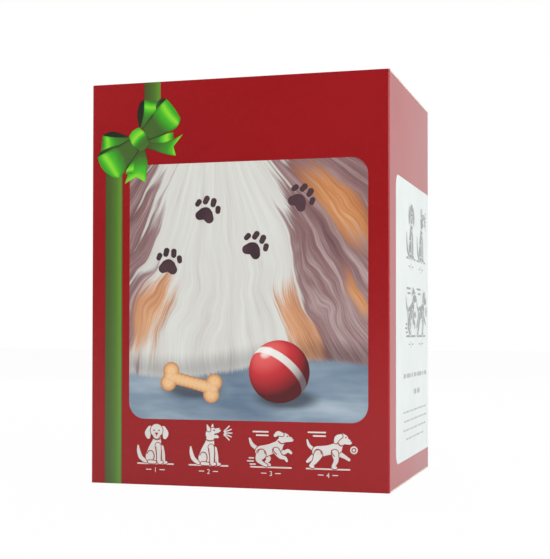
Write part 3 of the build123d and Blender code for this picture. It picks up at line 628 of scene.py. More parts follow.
def roundShade(finish, circles):
    # how squarely a form swept through circles faces the viewer: 1 on its crest, 0 at its rim
    x, y, z = finish.axes()
    nearest = None
    for spotX, spotZ, radius in circles:
        dx, dz = x - spotX * mm, z - spotZ * mm
        away = (dx * dx + dz * dz).root() / (radius * mm)
        nearest = away if nearest is None else nearest.least(away)
    return (1 - (nearest * nearest).least(1.0)).root()


edges = [picture[edge] * mm for edge in ("left", "right", "bottom", "top", "corner")]
printedPanel("frontPicture", "carton", frontWall, pictureInk(), *edges)

# each paw print: its place in the picture, and its turn in degrees
paws = {"trail": ((0.17, 0.6, -8), (0.33, 0.8, -20), (0.53, 0.66, -30), (0.72, 0.84, -38)), "scale": 1.35}


def ballInk():
    finish = Finish("ballPrint")
    x, y, z = finish.axes()
    nx = (x - ball["centre"][0] * mm) / (ball["radius"] * mm)
    nz = (z - ball["centre"][1] * mm) / (ball["radius"] * mm)
    ny = (1 - (nx * nx + nz * nz).least(1.0)).root()
    a, b, c = ball["lamp"]
    lit = nx * a + nz * b + ny * c
    red = finish.ramp(
        lit, (0.0, ink(84, 12, 20)), (0.35, ink(150, 26, 34)), (0.7, ink(196, 44, 50)),
        (0.93, ink(224, 92, 90)))
    a, b, c = ball["stripe"]
    band = 1 - (nx * a + nz * b - ny * c).size().step(0.1, 0.125)
    white = finish.ramp(lit, (0.0, ink(110, 96, 100)), (0.5, ink(206, 200, 194)), (0.9, ink(236, 234, 228)))
    shine = lit.step(0.955, 1.0) * 0.8
    finish.feed(colour=finish.mix(shine, finish.mix(band, red, white), ink(250, 244, 240)))
    return laminated(finish)


def boneShapes():
    cx, cy = bone["middle"]
    ux, uy = math.cos(bone["turn"]), math.sin(bone["turn"])
    half, out = bone["half"], bone["knobOut"]
    shaft = [(cx + ux * half * k, cy + uy * half * k, bone["shaft"] * (1 if k else bone["waist"]))
             for k in (-1, 0, 1)]
    knobs = [[(cx + end * ux * half - side * uy * out, cy + end * uy * half + side * ux * out, bone["knob"])]
             for end in (-1, 1) for side in (-1, 1)]
    return [shaft] + knobs


def boneInk():
    finish = Finish("bonePrint")
    shaft, *knobs = boneShapes()
    spots = [through(shaft, k / 10) for k in range(11)] + [knob[0] for knob in knobs]
    crest = roundShade(finish, [(x, z, radius * 1.05) for x, z, radius in spots])
    speckle = finish.noise(900, 3, 0.7)
    colour = finish.ramp(
        crest, (0.1, ink(150, 88, 48)), (0.55, ink(214, 150, 92)), (0.95, ink(238, 196, 146)))
    finish.feed(colour=finish.mix(speckle.step(0.55, 0.68) * 0.4, colour, ink(160, 96, 56)))
    return laminated(finish)


def pawShapes(across, up, turn):
    cx, cy = pictureMm(across, up)
    scale = paws["scale"]
    spin = Matrix.Rotation(math.radians(turn), 2)
    pad = ((-2.6, -1.6, 2.3), (0.0, 0.3, 3.1), (2.6, -1.6, 2.3))
    toes = [((-5.6, 3.2, 1.25), (-5.2, 4.6, 1.35)), ((-2.1, 5.6, 1.35), (-1.9, 7.4, 1.45)),
            ((2.1, 5.6, 1.35), (1.9, 7.4, 1.45)), ((5.6, 3.2, 1.25), (5.2, 4.6, 1.35))]
    shapes = []
    for circles in [pad] + toes:
        placed = []
        for x, y, radius in circles:
            spot = spin @ (Vector((x, y)) * scale)
            placed.append((cx + spot.x, cy + spot.y, radius * scale))
        shapes.append(placed)
    return shapes


printedShape("ballPicture", [[(*ball["centre"], ball["radius"])]], ballInk())
printedShape("bonePicture", boneShapes(), boneInk())
pawFinish = plainInk("pawPrint", ink(84, 58, 64), ink(60, 40, 48))
for number, paw in enumerate(paws["trail"], 1):
    printedShape(f"pawPicture{number}", pawShapes(*paw), pawFinish)
print("front picture printed")


# pictograms: a dog that sits, barks, leaps and runs, each drawn from swept circles
def line(*spots, radius=0.27):
    return [(x, y, radius) for x, y in spots]


def nearLines(*lines):
    return [line(*spots, radius=radius) for radius, *spots in lines]


# each group is one outline, drawn over the one before; circles are (x, y, radius) from the middle of the
# ground line, and a line starts with its radius
seatedTail = [[(-7.0, 1.5, 1.1), (-10.4, 4.0, 1.4), (-12.0, 8.0, 1.2), (-12.4, 11.8, 0.5)]]
seatedFarLeg = [[(4.4, 11.0, 1.5), (5.6, 6.0, 1.2), (6.0, 1.2, 1.0), (7.8, 1.0, 0.8)]]
seatedBody = [(-2.6, 4.8, 4.3), (-0.9, 9.5, 4.0), (0.8, 14.0, 3.2), (1.2, 17.6, 2.6)]
seatedNearLegs = [
    [(1.9, 12.0, 1.9), (2.6, 6.0, 1.5), (2.6, 1.3, 1.2), (4.6, 1.1, 0.9)],
    [(-4.2, 1.2, 1.1), (-0.2, 1.0, 0.9)],
]
seatedLines = nearLines(
    (0.27, (-6.0, 6.6), (-4.4, 8.6), (-1.8, 8.0), (-0.8, 5.0), (-1.6, 2.4)),
    (0.27, (0.3, 11.0), (0.9, 6.0), (0.9, 1.8)),
    (0.27, (4.4, 8.6), (4.2, 5.0), (4.2, 2.4)), (0.34, (-1.6, 16.9), (1.2, 16.1), (3.9, 16.8)))
thrownRing = (17.0, 12.6)
dogPoses = {
    "sit": dict(
        groups=[
            seatedTail, seatedFarLeg, [seatedBody], seatedNearLegs,
            [[(-3.8, 23.4, 1.8), (-5.4, 20.4, 2.1), (-5.0, 17.9, 1.4)]],
            [[(5.6, 23.4, 1.8), (7.2, 20.4, 2.1), (6.8, 17.9, 1.4)]],
            [[(0.9, 22.2, 4.3)], [(0.9, 19.3, 2.6)]],
        ],
        details=seatedLines + nearLines(
            (0.52, (-0.9, 22.3)), (0.52, (2.7, 22.3)), (0.62, (0.5, 20.2), (1.3, 20.2)),
            (0.22, (0.9, 19.9), (0.9, 18.6))),
        marks=[]),
    "bark": dict(
        groups=[
            seatedTail, seatedFarLeg, [[(2.6, 24.4, 1.2), (2.9, 27.0, 0.4)]],
            [seatedBody, [(1.6, 20.6, 3.5), (3.0, 21.6, 3.2)], [(4.6, 22.4, 1.9), (7.6, 23.6, 1.2)],
             [(3.6, 19.6, 1.6), (6.4, 18.9, 0.8)]],
            seatedNearLegs, [[(0.2, 23.6, 1.3), (-0.8, 26.5, 0.4)]],
        ],
        details=seatedLines + nearLines(
            (0.6, (8.3, 24.1)), (0.5, (4.0, 23.2)), (0.5, (8.0, 21.2), (5.4, 20.8), (4.6, 20.6))),
        marks=[line(*((9.6 + reach * math.cos(turn), 21.6 + reach * math.sin(turn)) for reach in (1.6, 6.6)),
                    radius=0.4) for turn in (-0.76, -0.38, 0.0, 0.38, 0.76)]),
    "leap": dict(
        groups=[
            [[(-9.6, 12.2, 1.3), (-12.8, 14.6, 1.2), (-14.4, 18.4, 0.6)]],
            [[(-4.6, 9.0, 2.2), (-1.4, 5.6, 1.4), (-3.4, 2.8, 1.0), (-0.8, 1.6, 0.9)]],
            [[(5.4, 11.6, 1.8), (8.8, 9.8, 1.3), (11.4, 11.2, 1.1), (13.6, 9.8, 0.9)]],
            [[(-6.4, 9.8, 4.1), (-1.0, 11.6, 3.4), (4.6, 13.6, 3.5)], [(5.6, 15.0, 2.9), (7.6, 17.8, 2.4)],
             [(8.6, 19.6, 3.1), (9.6, 19.4, 2.9)], [(11.4, 18.6, 1.9), (13.9, 18.4, 1.4)]],
            [[(-6.6, 8.2, 3.3), (-8.4, 4.8, 1.7), (-5.4, 2.4, 1.1), (-3.0, 1.2, 0.9)]],
            [[(3.6, 10.8, 2.2), (6.6, 7.2, 1.4), (9.6, 6.4, 1.1), (10.8, 4.6, 0.8)]],
            [[(7.6, 21.6, 1.2), (5.0, 22.2, 1.5), (3.0, 20.8, 1.0)]],
        ],
        details=nearLines(
            (0.55, (15.0, 19.2)), (0.45, (11.3, 20.4)), (0.34, (5.1, 17.2), (7.2, 15.6), (9.8, 16.0)),
            (0.27, (-9.0, 9.2), (-7.4, 11.6), (-4.6, 11.2), (-3.8, 8.6)),
            (0.27, (1.6, 12.6), (2.2, 10.4), (4.0, 8.6))),
        marks=nearLines(
            (0.5, (-12.0, 23.0), (-2.0, 23.0)), (0.5, (-9.6, 20.7), (-2.0, 20.7)),
            (0.45, (-14.6, 5.8), (-11.8, 5.8)), (0.45, (-15.8, 3.8), (-12.0, 3.8)),
            (0.45, (-14.0, 1.8), (-10.6, 1.8)))),
    "run": dict(
        groups=[
            [[(-9.6, 12.4, 1.2), (-12.6, 15.0, 1.0), (-13.8, 18.4, 0.5)]],
            [[(-7.4, 9.4, 2.1), (-11.2, 6.6, 1.4), (-13.6, 4.6, 0.9)]],
            [[(5.8, 10.6, 2.1), (10.2, 8.6, 1.3), (13.8, 6.4, 0.9)]],
            [[(-6.8, 11.0, 3.6), (0.0, 12.2, 3.1), (5.8, 13.6, 3.5)], [(6.8, 15.0, 2.8), (8.4, 17.6, 2.4)],
             [(9.2, 19.6, 3.4), (10.2, 19.4, 3.2)], [(12.0, 18.2, 2.0), (14.2, 17.6, 1.5)]],
            [[(-6.4, 9.2, 2.8), (-8.6, 4.8, 1.6), (-11.4, 1.9, 1.0), (-9.8, 1.2, 0.8)]],
            [[(4.6, 10.4, 2.2), (5.4, 5.6, 1.5), (3.4, 1.6, 1.0), (5.2, 1.1, 0.8)]],
            [[(8.4, 21.4, 1.3), (6.2, 20.2, 1.7), (5.2, 17.8, 1.2)]],
        ],
        details=nearLines(
            (0.55, (15.3, 18.4)), (0.45, (11.8, 20.6)), (0.34, (6.4, 17.0), (8.4, 15.2), (11.0, 15.6)),
            (0.27, (-9.2, 10.2), (-7.8, 12.4), (-5.2, 12.2), (-4.2, 9.6)),
            (0.27, (2.4, 12.4), (2.8, 10.2), (4.4, 8.4))),
        marks=nearLines(
            (0.5, (-13.0, 23.4), (-1.8, 23.4)), (0.5, (-9.6, 21.1), (-1.8, 21.1)), (2.5, thrownRing))),
}
pictograms = {
    "outline": 0.5, "rule": 0.48, "numeralSize": 4.6, "numeralDrop": 1.22, "layer": 0.35, "ground": 14.2,
    "dash": (3.2, 6.4, -3.9, 0.3), "ringHoles": (1.5, 0.9),
    "front": (("sit", -56.0, 12.6), ("bark", -18.6, 13.4), ("leap", 24.2, 13.6), ("run", 62.4, 14.2)),
}


def numeral(bm, digit, x, y, size, wall):
    text = bpy.data.curves.new("numeral", "FONT")
    text.body = str(digit)
    text.size = size * mm
    text.align_x = "CENTER"
    part = takenApart(linked("outline", text))
    bmesh.ops.translate(part, verts=part.verts, vec=(x * mm, y * mm, 0))
    onWall(part, wall, 1)
    joinInto(bm, part)


def pictogram(name, pose, x, y, scale, ruleHalf, digit, wall, fill, outline):
    bm = bmesh.new()
    layer = pictograms["layer"]
    level = 1.0

    def lay(circleLists, grow, materialIndex):
        for index, circles in enumerate(circleLists):
            part = bmesh.new()
            placed = [(x + cx * scale, y + cy * scale, radius * scale) for cx, cy, radius in circles]
            blob(part, placed, grow * scale)
            onWall(part, wall, level + layer * index)
            joinInto(bm, part, materialIndex)

    lay([[(-ruleHalf, 0, pictograms["rule"]), (ruleHalf, 0, pictograms["rule"])]], 0, 0)
    lay(dogPoses[pose]["marks"], 0, 0)
    for group in dogPoses[pose]["groups"]:
        level += 2 * layer
        lay(group, pictograms["outline"], 1)
        level += layer * len(group) + layer
        lay(group, 0, 0)
        level += layer * (len(group) - 1)
    level += 2 * layer
    lay(dogPoses[pose]["details"], 0, 1)
    if pose == "run":
        outer, inner = pictograms["ringHoles"]
        lay([line(thrownRing, radius=outer)], 0, 1)
        level += 0.5
        lay([line(thrownRing, radius=inner)], 0, 0)
    size = pictograms["numeralSize"] * scale
    numeral(bm, digit, x, y - pictograms["numeralDrop"] * size, size, wall)
    level = 1.0
    near, far, drop, radius = pictograms["dash"]
    for side in (-1, 1):
        lay([[(side * near, drop, radius), (side * far, drop, radius)]], 0, 0)
    return finished(bm, name, "carton", fill, outline)


whiteInk = plainInk("whitePrint", ink(226, 224, 219), ink(216, 213, 208))
redInk = plainInk("redPrint", boardLook["red"], boardLook["warmRed"])
for digit, (pose, x, half) in enumerate(pictograms["front"], 1):
    pictogram(pose + "Pictogram", pose, x, pictograms["ground"], 1.0, half, digit, frontWall, whiteInk,
              redInk)
print("pictograms printed")


# the white panel on the right side, which turns round the rear crease
sidePanel = {
    "front": -57.6, "bottom": 15.5, "top": 206.0, "corner": 8.0, "onBack": 25.0,
    "columns": (1.5, 45.5), "rows": (153.5, 99.4), "scale": 1.44, "ruleHalf": 13.0,
    # each line of rules: its height, half its thickness, and its two ends
    "lines": ((72.3, 1.5, (-29, 70)), (60.4, 1.9, (13, 39)), (47.6, 0.62, (-29, 67)), (41.4, 0.62, (-27, 70)),
              (35.2, 0.62, (-29, 66)), (29.0, 0.62, (-18, 57))),
    "words": (9, 14, 6, 11, 17, 5, 12), "gap": 1.6,
}
straight = sleeveHigh.y - carton["crease"]
creaseCuts = [straight + carton["crease"] * math.pi / 2 * k / 6 for k in range(7)]
panelInk = plainInk("sidePanelPrint", ink(208, 216, 213), ink(202, 211, 208))
greyInk = plainInk("greyPrint", ink(98, 101, 100), ink(112, 115, 114))
paleGreyInk = plainInk("paleGreyPrint", ink(140, 145, 145), ink(152, 157, 157))
printedPanel("sidePanelPrint", "carton", rightWall, panelInk, sidePanel["front"] * mm,
             creaseCuts[-1] + sidePanel["onBack"] * mm, sidePanel["bottom"] * mm, sidePanel["top"] * mm,
             sidePanel["corner"] * mm, creaseCuts)
for index, pose in enumerate(dogPoses):
    x, y = sidePanel["columns"][index % 2], sidePanel["rows"][index // 2]
    pictogram(pose + "SidePictogram", pose, x, y, sidePanel["scale"], sidePanel["ruleHalf"], index + 1,
              rightWall, greyInk, panelInk)


def ruledLine(bm, y, half, span):
    # a plain rule broken into word lengths
    words = sidePanel["words"]
    start, index = span[0], 0
    while start < span[1] - 3:
        stop = min(start + words[index % len(words)] * (0.6 + half * 0.35), span[1])
        part = bmesh.new()
        blob(part, [(start + half, y, half), (stop - half, y, half)])
        onWall(part, rightWall, 1)
        joinInto(bm, part)
        start = stop + sidePanel["gap"] + half
        index += 1


bm = bmesh.new()
for ruled in sidePanel["lines"]:
    ruledLine(bm, *ruled)
finished(bm, "sidePanelRules", "carton", paleGreyInk)
print("side panel printed")


# the plush puppy in the carton
puppy = {
    "neckY": -34.0, "headCentre": Vector((0, -34, 186)), "hipZ": 100.0, "frontHipY": -26.0, "rearHipY": 40.0,
    "tailY": 57.0, "eye": Vector((17, -60, 190)), "nose": Vector((0, -70.1, 180.3)),
}
plush = {
    "cream": ink(232, 226, 214), "creamDeep": ink(204, 194, 178), "tip": ink(242, 238, 230),
    "mauve": ink(150, 122, 116), "mauveDeep": ink(92, 70, 68), "tan": ink(196, 132, 78),
    "tanDeep": ink(130, 78, 42), "pile": 0.5 * mm, "tuft": 1.1 * mm, "seamDepth": 0.4 * mm,
}
stuffing = {"frames": 20, "pressure": 4.0, "scale": 10.0, "quality": 4, "heldWithin": 0.8}
noSeam = 99  # farther from a seam than matters, in millimetres


def plushFinish(name, patch=None, tanPatch=None):
    # short pile: tufts that part and lean, a soft sheen, dyed patches with ragged edges, and painted shade
    # along the seams
    finish = Finish(name, sheen=0.55, sheenRoughness=0.45, specular=0.12)
    x, y, z = finish.axes()
    warp = finish.noise(120, 2, 0.5)
    lean = finish.point(x + (warp - 0.5) * 0.004, y, z * 0.45)
    tufts = finish.noise(300, 4, 0.65, lean)
    pile = finish.noise(1700, 3, 0.75, lean)
    shade = tufts * 0.5 + pile * 0.5
    colour = finish.ramp(shade, (0.3, plush["creamDeep"]), (0.52, plush["cream"]), (0.7, plush["tip"]))
    ragged = (tufts - 0.5) * 0.012 + (warp - 0.5) * 0.016
    for place, low, high in ((patch, "mauveDeep", "mauve"), (tanPatch, "tanDeep", "tan")):
        if place:
            dyed = finish.ramp(shade, (0.28, plush[low]), (0.5, plush[high]), (0.8, plush[high]))
            colour = finish.mix((place(x, y, z) + ragged).step(-0.0015, 0.0015), colour, dyed)
    seam = finish.node("Attribute", {"attribute_name": "seam"}, out="Fac")
    height = tufts * plush["tuft"] + pile * plush["pile"] - seam * plush["seamDepth"]
    # the seams are painted darker, with a greyish brown multiplied in: painted shade in the sewn grooves,
    # which the relief also sinks
    return finish.feed(colour=finish.mix(seam * 0.4, colour, ink(150, 132, 118), "MULTIPLY"),
                       roughness=0.86 + pile * 0.12, normal=finish.relief(height))


def nodeCopy(*nodeNames):
    bm = bmesh.new()
    for nodeName in nodeNames:
        bm.from_mesh(nodes[nodeName].data)
    bmesh.ops.remove_doubles(bm, verts=bm.verts, dist=0.004 * mm)
    return bm


def remeshed(bm, voxel, smoothing):
    # the same closed form in even small faces, its edges rounded off
    carrier = asObject(bm, "form")
    remesh = carrier.modifiers.new("even", "REMESH")
    remesh.mode = "VOXEL"
    remesh.voxel_size = voxel * mm
    soften = carrier.modifiers.new("soften", "SMOOTH")
    soften.factor = 0.5
    soften.iterations = smoothing
    return takenApart(carrier)


def swollen(bm, seams):
    # pressure fills the sewn cover, held at its seams; simulated at ten times its size, where cloth is stable
    places = [vert.co.copy() for vert in bm.verts]
    scaled = bm.copy()
    bmesh.ops.scale(scaled, vec=(stuffing["scale"],) * 3, verts=scaled.verts)
    carrier = asObject(scaled, "cover")
    held = carrier.vertex_groups.new(name="held")
    nearSeam = [index for index, place in enumerate(places) if seams(place / mm) < stuffing["heldWithin"]]
    held.add(nearSeam, 1.0, "REPLACE")
    cloth = carrier.modifiers.new("cover", "CLOTH")
    cloth.settings.use_pressure = True
    cloth.settings.uniform_pressure_force = stuffing["pressure"]
    cloth.settings.vertex_group_mass = "held"
    cloth.settings.quality = stuffing["quality"]
    cloth.settings.effector_weights.gravity = 0
    cloth.point_cache.frame_start = 1
    cloth.point_cache.frame_end = stuffing["frames"]
    for step in range(1, stuffing["frames"] + 1):
        bpy.context.scene.frame_set(step)
    result = takenApart(carrier)
    shifts = [vert.co / stuffing["scale"] - place for vert, place in zip(result.verts, places)]
    result.free()
    bpy.context.scene.frame_set(1)
    return shifts


def stuffed(name, bm, body, finish, seams, room, replaces, slot="plush_cream", tufts=0.25):
    # a stuffed plush piece: swollen between its seams by as much as its surroundings leave room for
    bm.normal_update()
    shifts = swollen(bm, seams)
    seamLayer = bm.verts.layers.float.new("seam")
    for index, vert in enumerate(bm.verts):
        place = vert.co / mm
        away = seams(place)
        most = room(place) * mm
        if shifts:
            shift = shifts[index]
            if shift.length > most:
                shift = shift.normalized() * most
        else:
            shift = vert.normal * most * (1 - math.exp(-away / 5))
        pile = noise.noise(place * 0.35) * tufts + noise.noise(place * 0.9) * tufts * 0.5
        vert.co += shift + vert.normal * min(pile * mm, most) * min(1.0, away / 3)
        # the seam attribute sinks the pile's relief and paints shade along the seam
        vert[seamLayer] = max(0.0, 1 - away / 1.2)
    piece = finished(smoothed(bm), name, body, finish, slot=slot)
    rounding = piece.modifiers.new("rounding", "SUBSURF")
    rounding.levels = rounding.render_levels = 1
    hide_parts(*replaces)


def lathe(bm, profile, centre, axis, segments=48):
    # spins a line of (out, along) points, in millimetres, about an axis
    start = [bmesh.ops.create_vert(bm, co=(0, 0, 0))["vert"][0] for spot in profile]
    turn = Vector((0, 0, 1)).rotation_difference(Vector(axis))
    for vert, (out, along) in zip(start, profile):
        vert.co = (turn @ Vector((out, 0, along)) + Vector(centre)) * mm
    edges = [bm.edges.new(pair) for pair in zip(start, start[1:])]
    bmesh.ops.spin(bm, geom=start + edges, cent=Vector(centre) * mm, axis=axis, angle=2 * math.pi,
                   steps=segments, use_merge=True)
    bmesh.ops.remove_doubles(bm, verts=bm.verts, dist=0.01 * mm)
    outwards(bm)
    smoothed(bm)


def superReach(place, centre, radii, power):
    # about how far outside a squarish ellipsoid a point is, in millimetres
    share = sum(abs((a - b) / r) ** power for a, b, r in zip(place, centre, radii)) ** (1 / power)
    return (share - 1) * min(radii)


def softLeast(first, second, width):
    blend = max(width - abs(first - second), 0) / width
    return min(first, second) - blend * blend * width / 4


# the skull, the muzzle and the two cheeks: centre, half sizes, and how square each is
headForms = (
    ((0, -34, 186), (39.4, 26.0, 25.7), 2.7), ((0, -56.8, 174.2), (17.0, 13.4, 11.2), 2.4),
    ((19, -46, 172.5), (15, 13, 11), 2.2), ((-19, -46, 172.5), (15, 13, 11), 2.2),
)
neckRoom = ((-11.5, 11.5), (-43.5, -24.5), (150, 170))


def headReach(place):
    reach = superReach(place, *headForms[0])
    for form in headForms[1:]:
        reach = softLeast(reach, superReach(place, *form), 7)
    inRoom = min(min(place[axis] - neckRoom[axis][0], neckRoom[axis][1] - place[axis]) for axis in range(3))
    return max(reach, inRoom)


def headForm():
    bm = bmesh.new()
    bmesh.ops.create_icosphere(bm, subdivisions=6, radius=1.0)
    for vert in bm.verts:
        near, far = 5.0, 60.0
        for step in range(13):
            middle = (near + far) / 2
            if headReach(puppy["headCentre"] + vert.co * middle) < 0:
                near = middle
            else:
                far = middle
        vert.co = (puppy["headCentre"] + vert.co * near) * mm
    return bm


def headSeams(place):
    # a gusset from the nose over the head, and a seam under the chin
    width = 6 + 13 * min(1, max(0, (place.y + 68) / 40))
    gusset = abs(abs(place.x) - width) if place.z > 178 or place.y > -20 else noSeam
    chin = abs(place.x) if place.z < 172 and place.y < -46 else noSeam
    return min(gusset, chin)


def headRoom(place):
    if place.z < 171 and abs(place.x) < 16 and -48 < place.y < -20:
        return 0.0
    nearEye = (Vector((abs(place.x), place.y, place.z)) - puppy["eye"]).length
    nearNose = (place - Vector((0, -71, 180))).length
    besideEar = 0.3 if abs(place.x) > 36 else 1.2
    return min(max(0.0, nearEye - 5.5) * 0.4, max(0.0, nearNose - 5) * 0.4, besideEar)


def headPatch(x, y, z):
    # mauve from the eyes back over the crown, with a white blaze between
    return (x.size() - 0.0115 - (y + 0.06).most(0) * 0.12).least(z - 0.176)


def headTan(x, y, z):
    dx, dz = x.size() - 0.019, z - 0.1835
    ring = 0.0095 - (dx * dx * 0.8 + dz * dz).root()
    return ring.least(-0.045 - y)


headFinish = plushFinish("headPile", headPatch, headTan)
stuffed("headPlush", headForm(), "head", headFinish, headSeams, headRoom, ["head_plush"])
print("head stuffed")


def coatSeams(place):
    # one seam down the back, one round each flank, and the sewn hems
    spine = abs(place.x) if place.z > 120 else noSeam
    outside = abs(place.x) > 39 or not -48 < place.y < 67
    flank = abs(place.z - 112 - 6 * math.cos((place.y - 10) / 32)) if outside else noSeam
    return min(spine, flank, abs(place.z - 86.5))


def coatRoom(place):
    inside = abs(place.x) < 40 and -48 < place.y < 68 and place.z < 138
    ring = Vector((place.x, place.y - puppy["neckY"])).length < 17.5 and place.z > 138
    atTail = abs(place.x) < 14 and abs(place.y - puppy["tailY"]) < 10
    return 0.0 if inside or ring or atTail or place.z < 86 else 1.8


def coatPatch(x, y, z):
    # one saddle over the back and the rump
    sway = (y * 70).wave() * 0.006
    return (0.036 - (y - 0.022).size() * 0.9).least(z - 0.112 + sway)


coatBulk = {
    "centre": Vector((0, 9.5, 115)), "half": Vector((46, 63.5, 31)), "power": 4, "round": 0.7,
    "neckBand": ((13.2, 134.0), (15.2, 134.0), (15.2, 153.0), (13.2, 153.0), (13.2, 134.0)),
    "neckFree": 16, "tailFree": 12,
}


def roundedCoat(bm):
    # a stuffed barrel: edges and corners drawn in, but for the neck ring and the root of the tail
    for vert in bm.verts:
        place = vert.co / mm
        out = place - coatBulk["centre"]
        out.z = max(0, out.z)
        shares = [abs(a / b) ** coatBulk["power"] for a, b in zip(out, coatBulk["half"])]
        bulk = max(1, sum(shares)) ** (1 / coatBulk["power"])
        fromNeck = Vector((place.x, place.y - puppy["neckY"])).length - coatBulk["neckFree"]
        fromTail = Vector((place.x, place.y - puppy["tailY"])).length - coatBulk["tailFree"]
        free = min(1, max(0, min(fromNeck, fromTail) / 10))
        vert.co += out * mm * (bulk ** -coatBulk["round"] - 1) * free
    return bm


coatForm = nodeCopy("body_coat")
lathe(coatForm, coatBulk["neckBand"], (0, puppy["neckY"], 0), (0, 0, 1))
coatForm = roundedCoat(remeshed(coatForm, 2.5, 16))
coatFinish = plushFinish("coatPile", coatPatch)
stuffed("coatPlush", coatForm, "carton", coatFinish, coatSeams, coatRoom, ["body_coat"])
print("coat stuffed")


def legSeams(hipY):
    # a seam down the front and the back, and two sewn lines between the toes
    def seams(place):
        across = abs(place.x) - 37.5 + 0.5 * math.sin(place.z / 9)
        if abs(place.y - hipY) > 10.5 and place.z > 21:
            return abs(across)
        if place.z < 15 and place.y < hipY - 15:
            return abs(abs(across) - 3.6)
        return noSeam
    return seams


def legRoom(hipY):
    def room(place):
        reach = Vector((place.y - hipY, place.z - puppy["hipZ"])).length
        besideBone = 29.5 < abs(place.x) < 34.5 and abs(place.y - hipY) < 12
        return 0.0 if reach > 93 or reach < 29 or abs(place.x) < 29.5 or besideBone else 1.1
    return room


def legPatch(x, y, z):
    return z - 0.062


for nodeName in [name for name in nodes if name.startswith("leg_plush")]:
    end, word = nodeName.split("_")[2:]
    hipY = puppy[end + "HipY"]
    leg = end + word.title() + "Leg"
    legForm = remeshed(nodeCopy(nodeName), 1.35, 18)
    stuffed(leg + "Plush", legForm, f"{end}_{word}_leg", plushFinish(leg + "Pile", legPatch), legSeams(hipY),
            legRoom(hipY), [nodeName])


def sheetOf(bm, thick):
    # gives a surface its thickness, in millimetres
    outwards(bm)
    bmesh.ops.solidify(bm, geom=bm.faces[:], thickness=thick * mm)
    outwards(bm)
    return smoothed(bm)


cuff = {
    "middle": 32.6, "across": 4.8, "along": 10.6, "low": 30.5, "rise": 9.3, "draw": 0.16, "folds": 13,
    "thick": 0.7,
}


def legCuff(hipY, side):
    # the gathered top of the leg's cover, drawn in round the bone under the coat
    bm = bmesh.new()
    bmesh.ops.create_grid(bm, x_segments=64, y_segments=8, size=0.5)
    for vert in bm.verts:
        turn, up = (vert.co.x + 0.5) * 2 * math.pi, vert.co.y + 0.5
        draw = 1 - cuff["draw"] * up * up + 0.02 * math.sin(turn * cuff["folds"]) * up
        x = cuff["middle"] + cuff["across"] * draw * math.copysign(abs(math.cos(turn)) ** 0.5, math.cos(turn))
        y = hipY + cuff["along"] * draw * math.copysign(abs(math.sin(turn)) ** 0.7, math.sin(turn))
        radius = cuff["low"] - cuff["rise"] * up
        z = puppy["hipZ"] - math.sqrt(radius * radius - (y - hipY) ** 2)
        vert.co = Vector((side * x, y, z)) * mm
    bmesh.ops.remove_doubles(bm, verts=bm.verts, dist=0.02 * mm)
    return sheetOf(bm, cuff["thick"])


def dyedAll(x, y, z):
    return z


cuffFinish = plushFinish("cuffPile", dyedAll)
for end in ("front", "rear"):
    for word, side in (("left", -1), ("right", 1)):
        gathered = finished(legCuff(puppy[end + "HipY"], side), end + word.title() + "Cuff",
                            f"{end}_{word}_leg", cuffFinish, slot="plush_cream")
print("legs stuffed")


def tailSeams(place):
    return abs(place.x) if place.z > 158 else noSeam


def tailRoom(place):
    return 0.0 if place.z < 158 else 1.0


def tailPatch(x, y, z):
    return 0.182 - z


tailForm = remeshed(nodeCopy("tail_plush"), 0.9, 10)
tailFinish = plushFinish("tailPile", tailPatch)
stuffed("tailPlush", tailForm, "tail", tailFinish, tailSeams, tailRoom, ["tail_plush"], tufts=0.4)
print("tail stuffed")


def earSeams(place):
    return noSeam


def earRoom(place):
    return 0.9 if place.z < 196 else 0.3


def earForm():
    # the flat ear, its edge rounded and its lower half turned a little outwards
    bm = remeshed(nodeCopy("ears"), 0.95, 9)
    for vert in bm.verts:
        side = 1 if vert.co.x > 0 else -1
        drop = max(0.0, (0.199 - vert.co.z) / 0.04)
        vert.co.x += side * 2.6 * mm * drop * drop
        vert.co.y += 1.6 * mm * math.sin(drop * 3)
    return bm


stuffed("earsPlush", earForm(), "head", plushFinish("earPile", dyedAll), earSeams, earRoom, ["ears"],
        slot="plush_tan", tufts=0.3)


def eyeFinish():
    finish = Finish("eyeGloss", coat=1.0, coatRoughness=0.03)
    x, y, z = finish.axes()
    dx, dz = x.size() - puppy["eye"].x * mm, z - puppy["eye"].z * mm
    out = (dx * dx + dz * dz).root()
    streaks = finish.noise(900, 3, 0.6)
    iris = finish.ramp(
        out * 200 + (streaks - 0.5) * 0.1, (0.44, ink(16, 9, 8)), (0.5, ink(84, 44, 24)),
        (0.72, ink(58, 28, 16)), (0.86, ink(14, 9, 8)))
    return finish.feed(colour=iris, roughness=0.06 + streaks * 0.05)


def standIn(name, bm, body, finish, slot, node):
    piece = finished(bm, name, body, finish, slot=slot)
    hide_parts(node)
    return piece


bm = bmesh.new()
dome = [(5.7 * math.cos(t), 3.9 * math.sin(t)) for t in [math.pi / 2 * k / 12 for k in range(13)]]
eyeProfile = [(0, -1.2), (4.4, -1.2), (5.6, -0.7)] + dome[:-1] + [(0, 3.9)]
for side in (-1, 1):
    lathe(bm, eyeProfile, (side * puppy["eye"].x, puppy["eye"].y, puppy["eye"].z), (0, -1, 0))
standIn("eyeDomes", bm, "head", eyeFinish(), "eye_gloss", "eyes")


def tinted(colour, gain, lift=0.0):
    return tuple(min(1, c * gain + lift) for c in colour[:3]) + (1,)


def moulded(name, colour, roughness, grain, fleck=0.1):
    # moulded or coated stuff: a fine texture, faint unevenness of colour, and light rubbing
    finish = Finish(name, specular=0.4)
    cloud = finish.noise(60, 3)
    skin = finish.noise(2400, 2, 0.6)
    rub = finish.noise(240, 4, 0.7).step(0.56, 0.7)
    base = finish.mix(cloud.step(0.3, 0.7), tinted(colour, 0.86), colour)
    return finish.feed(colour=finish.mix(rub * fleck, base, tinted(colour, 1.25, 0.02)),
                       roughness=roughness + (cloud - 0.5) * 0.12 + rub * 0.08,
                       normal=finish.relief(skin * grain * mm))


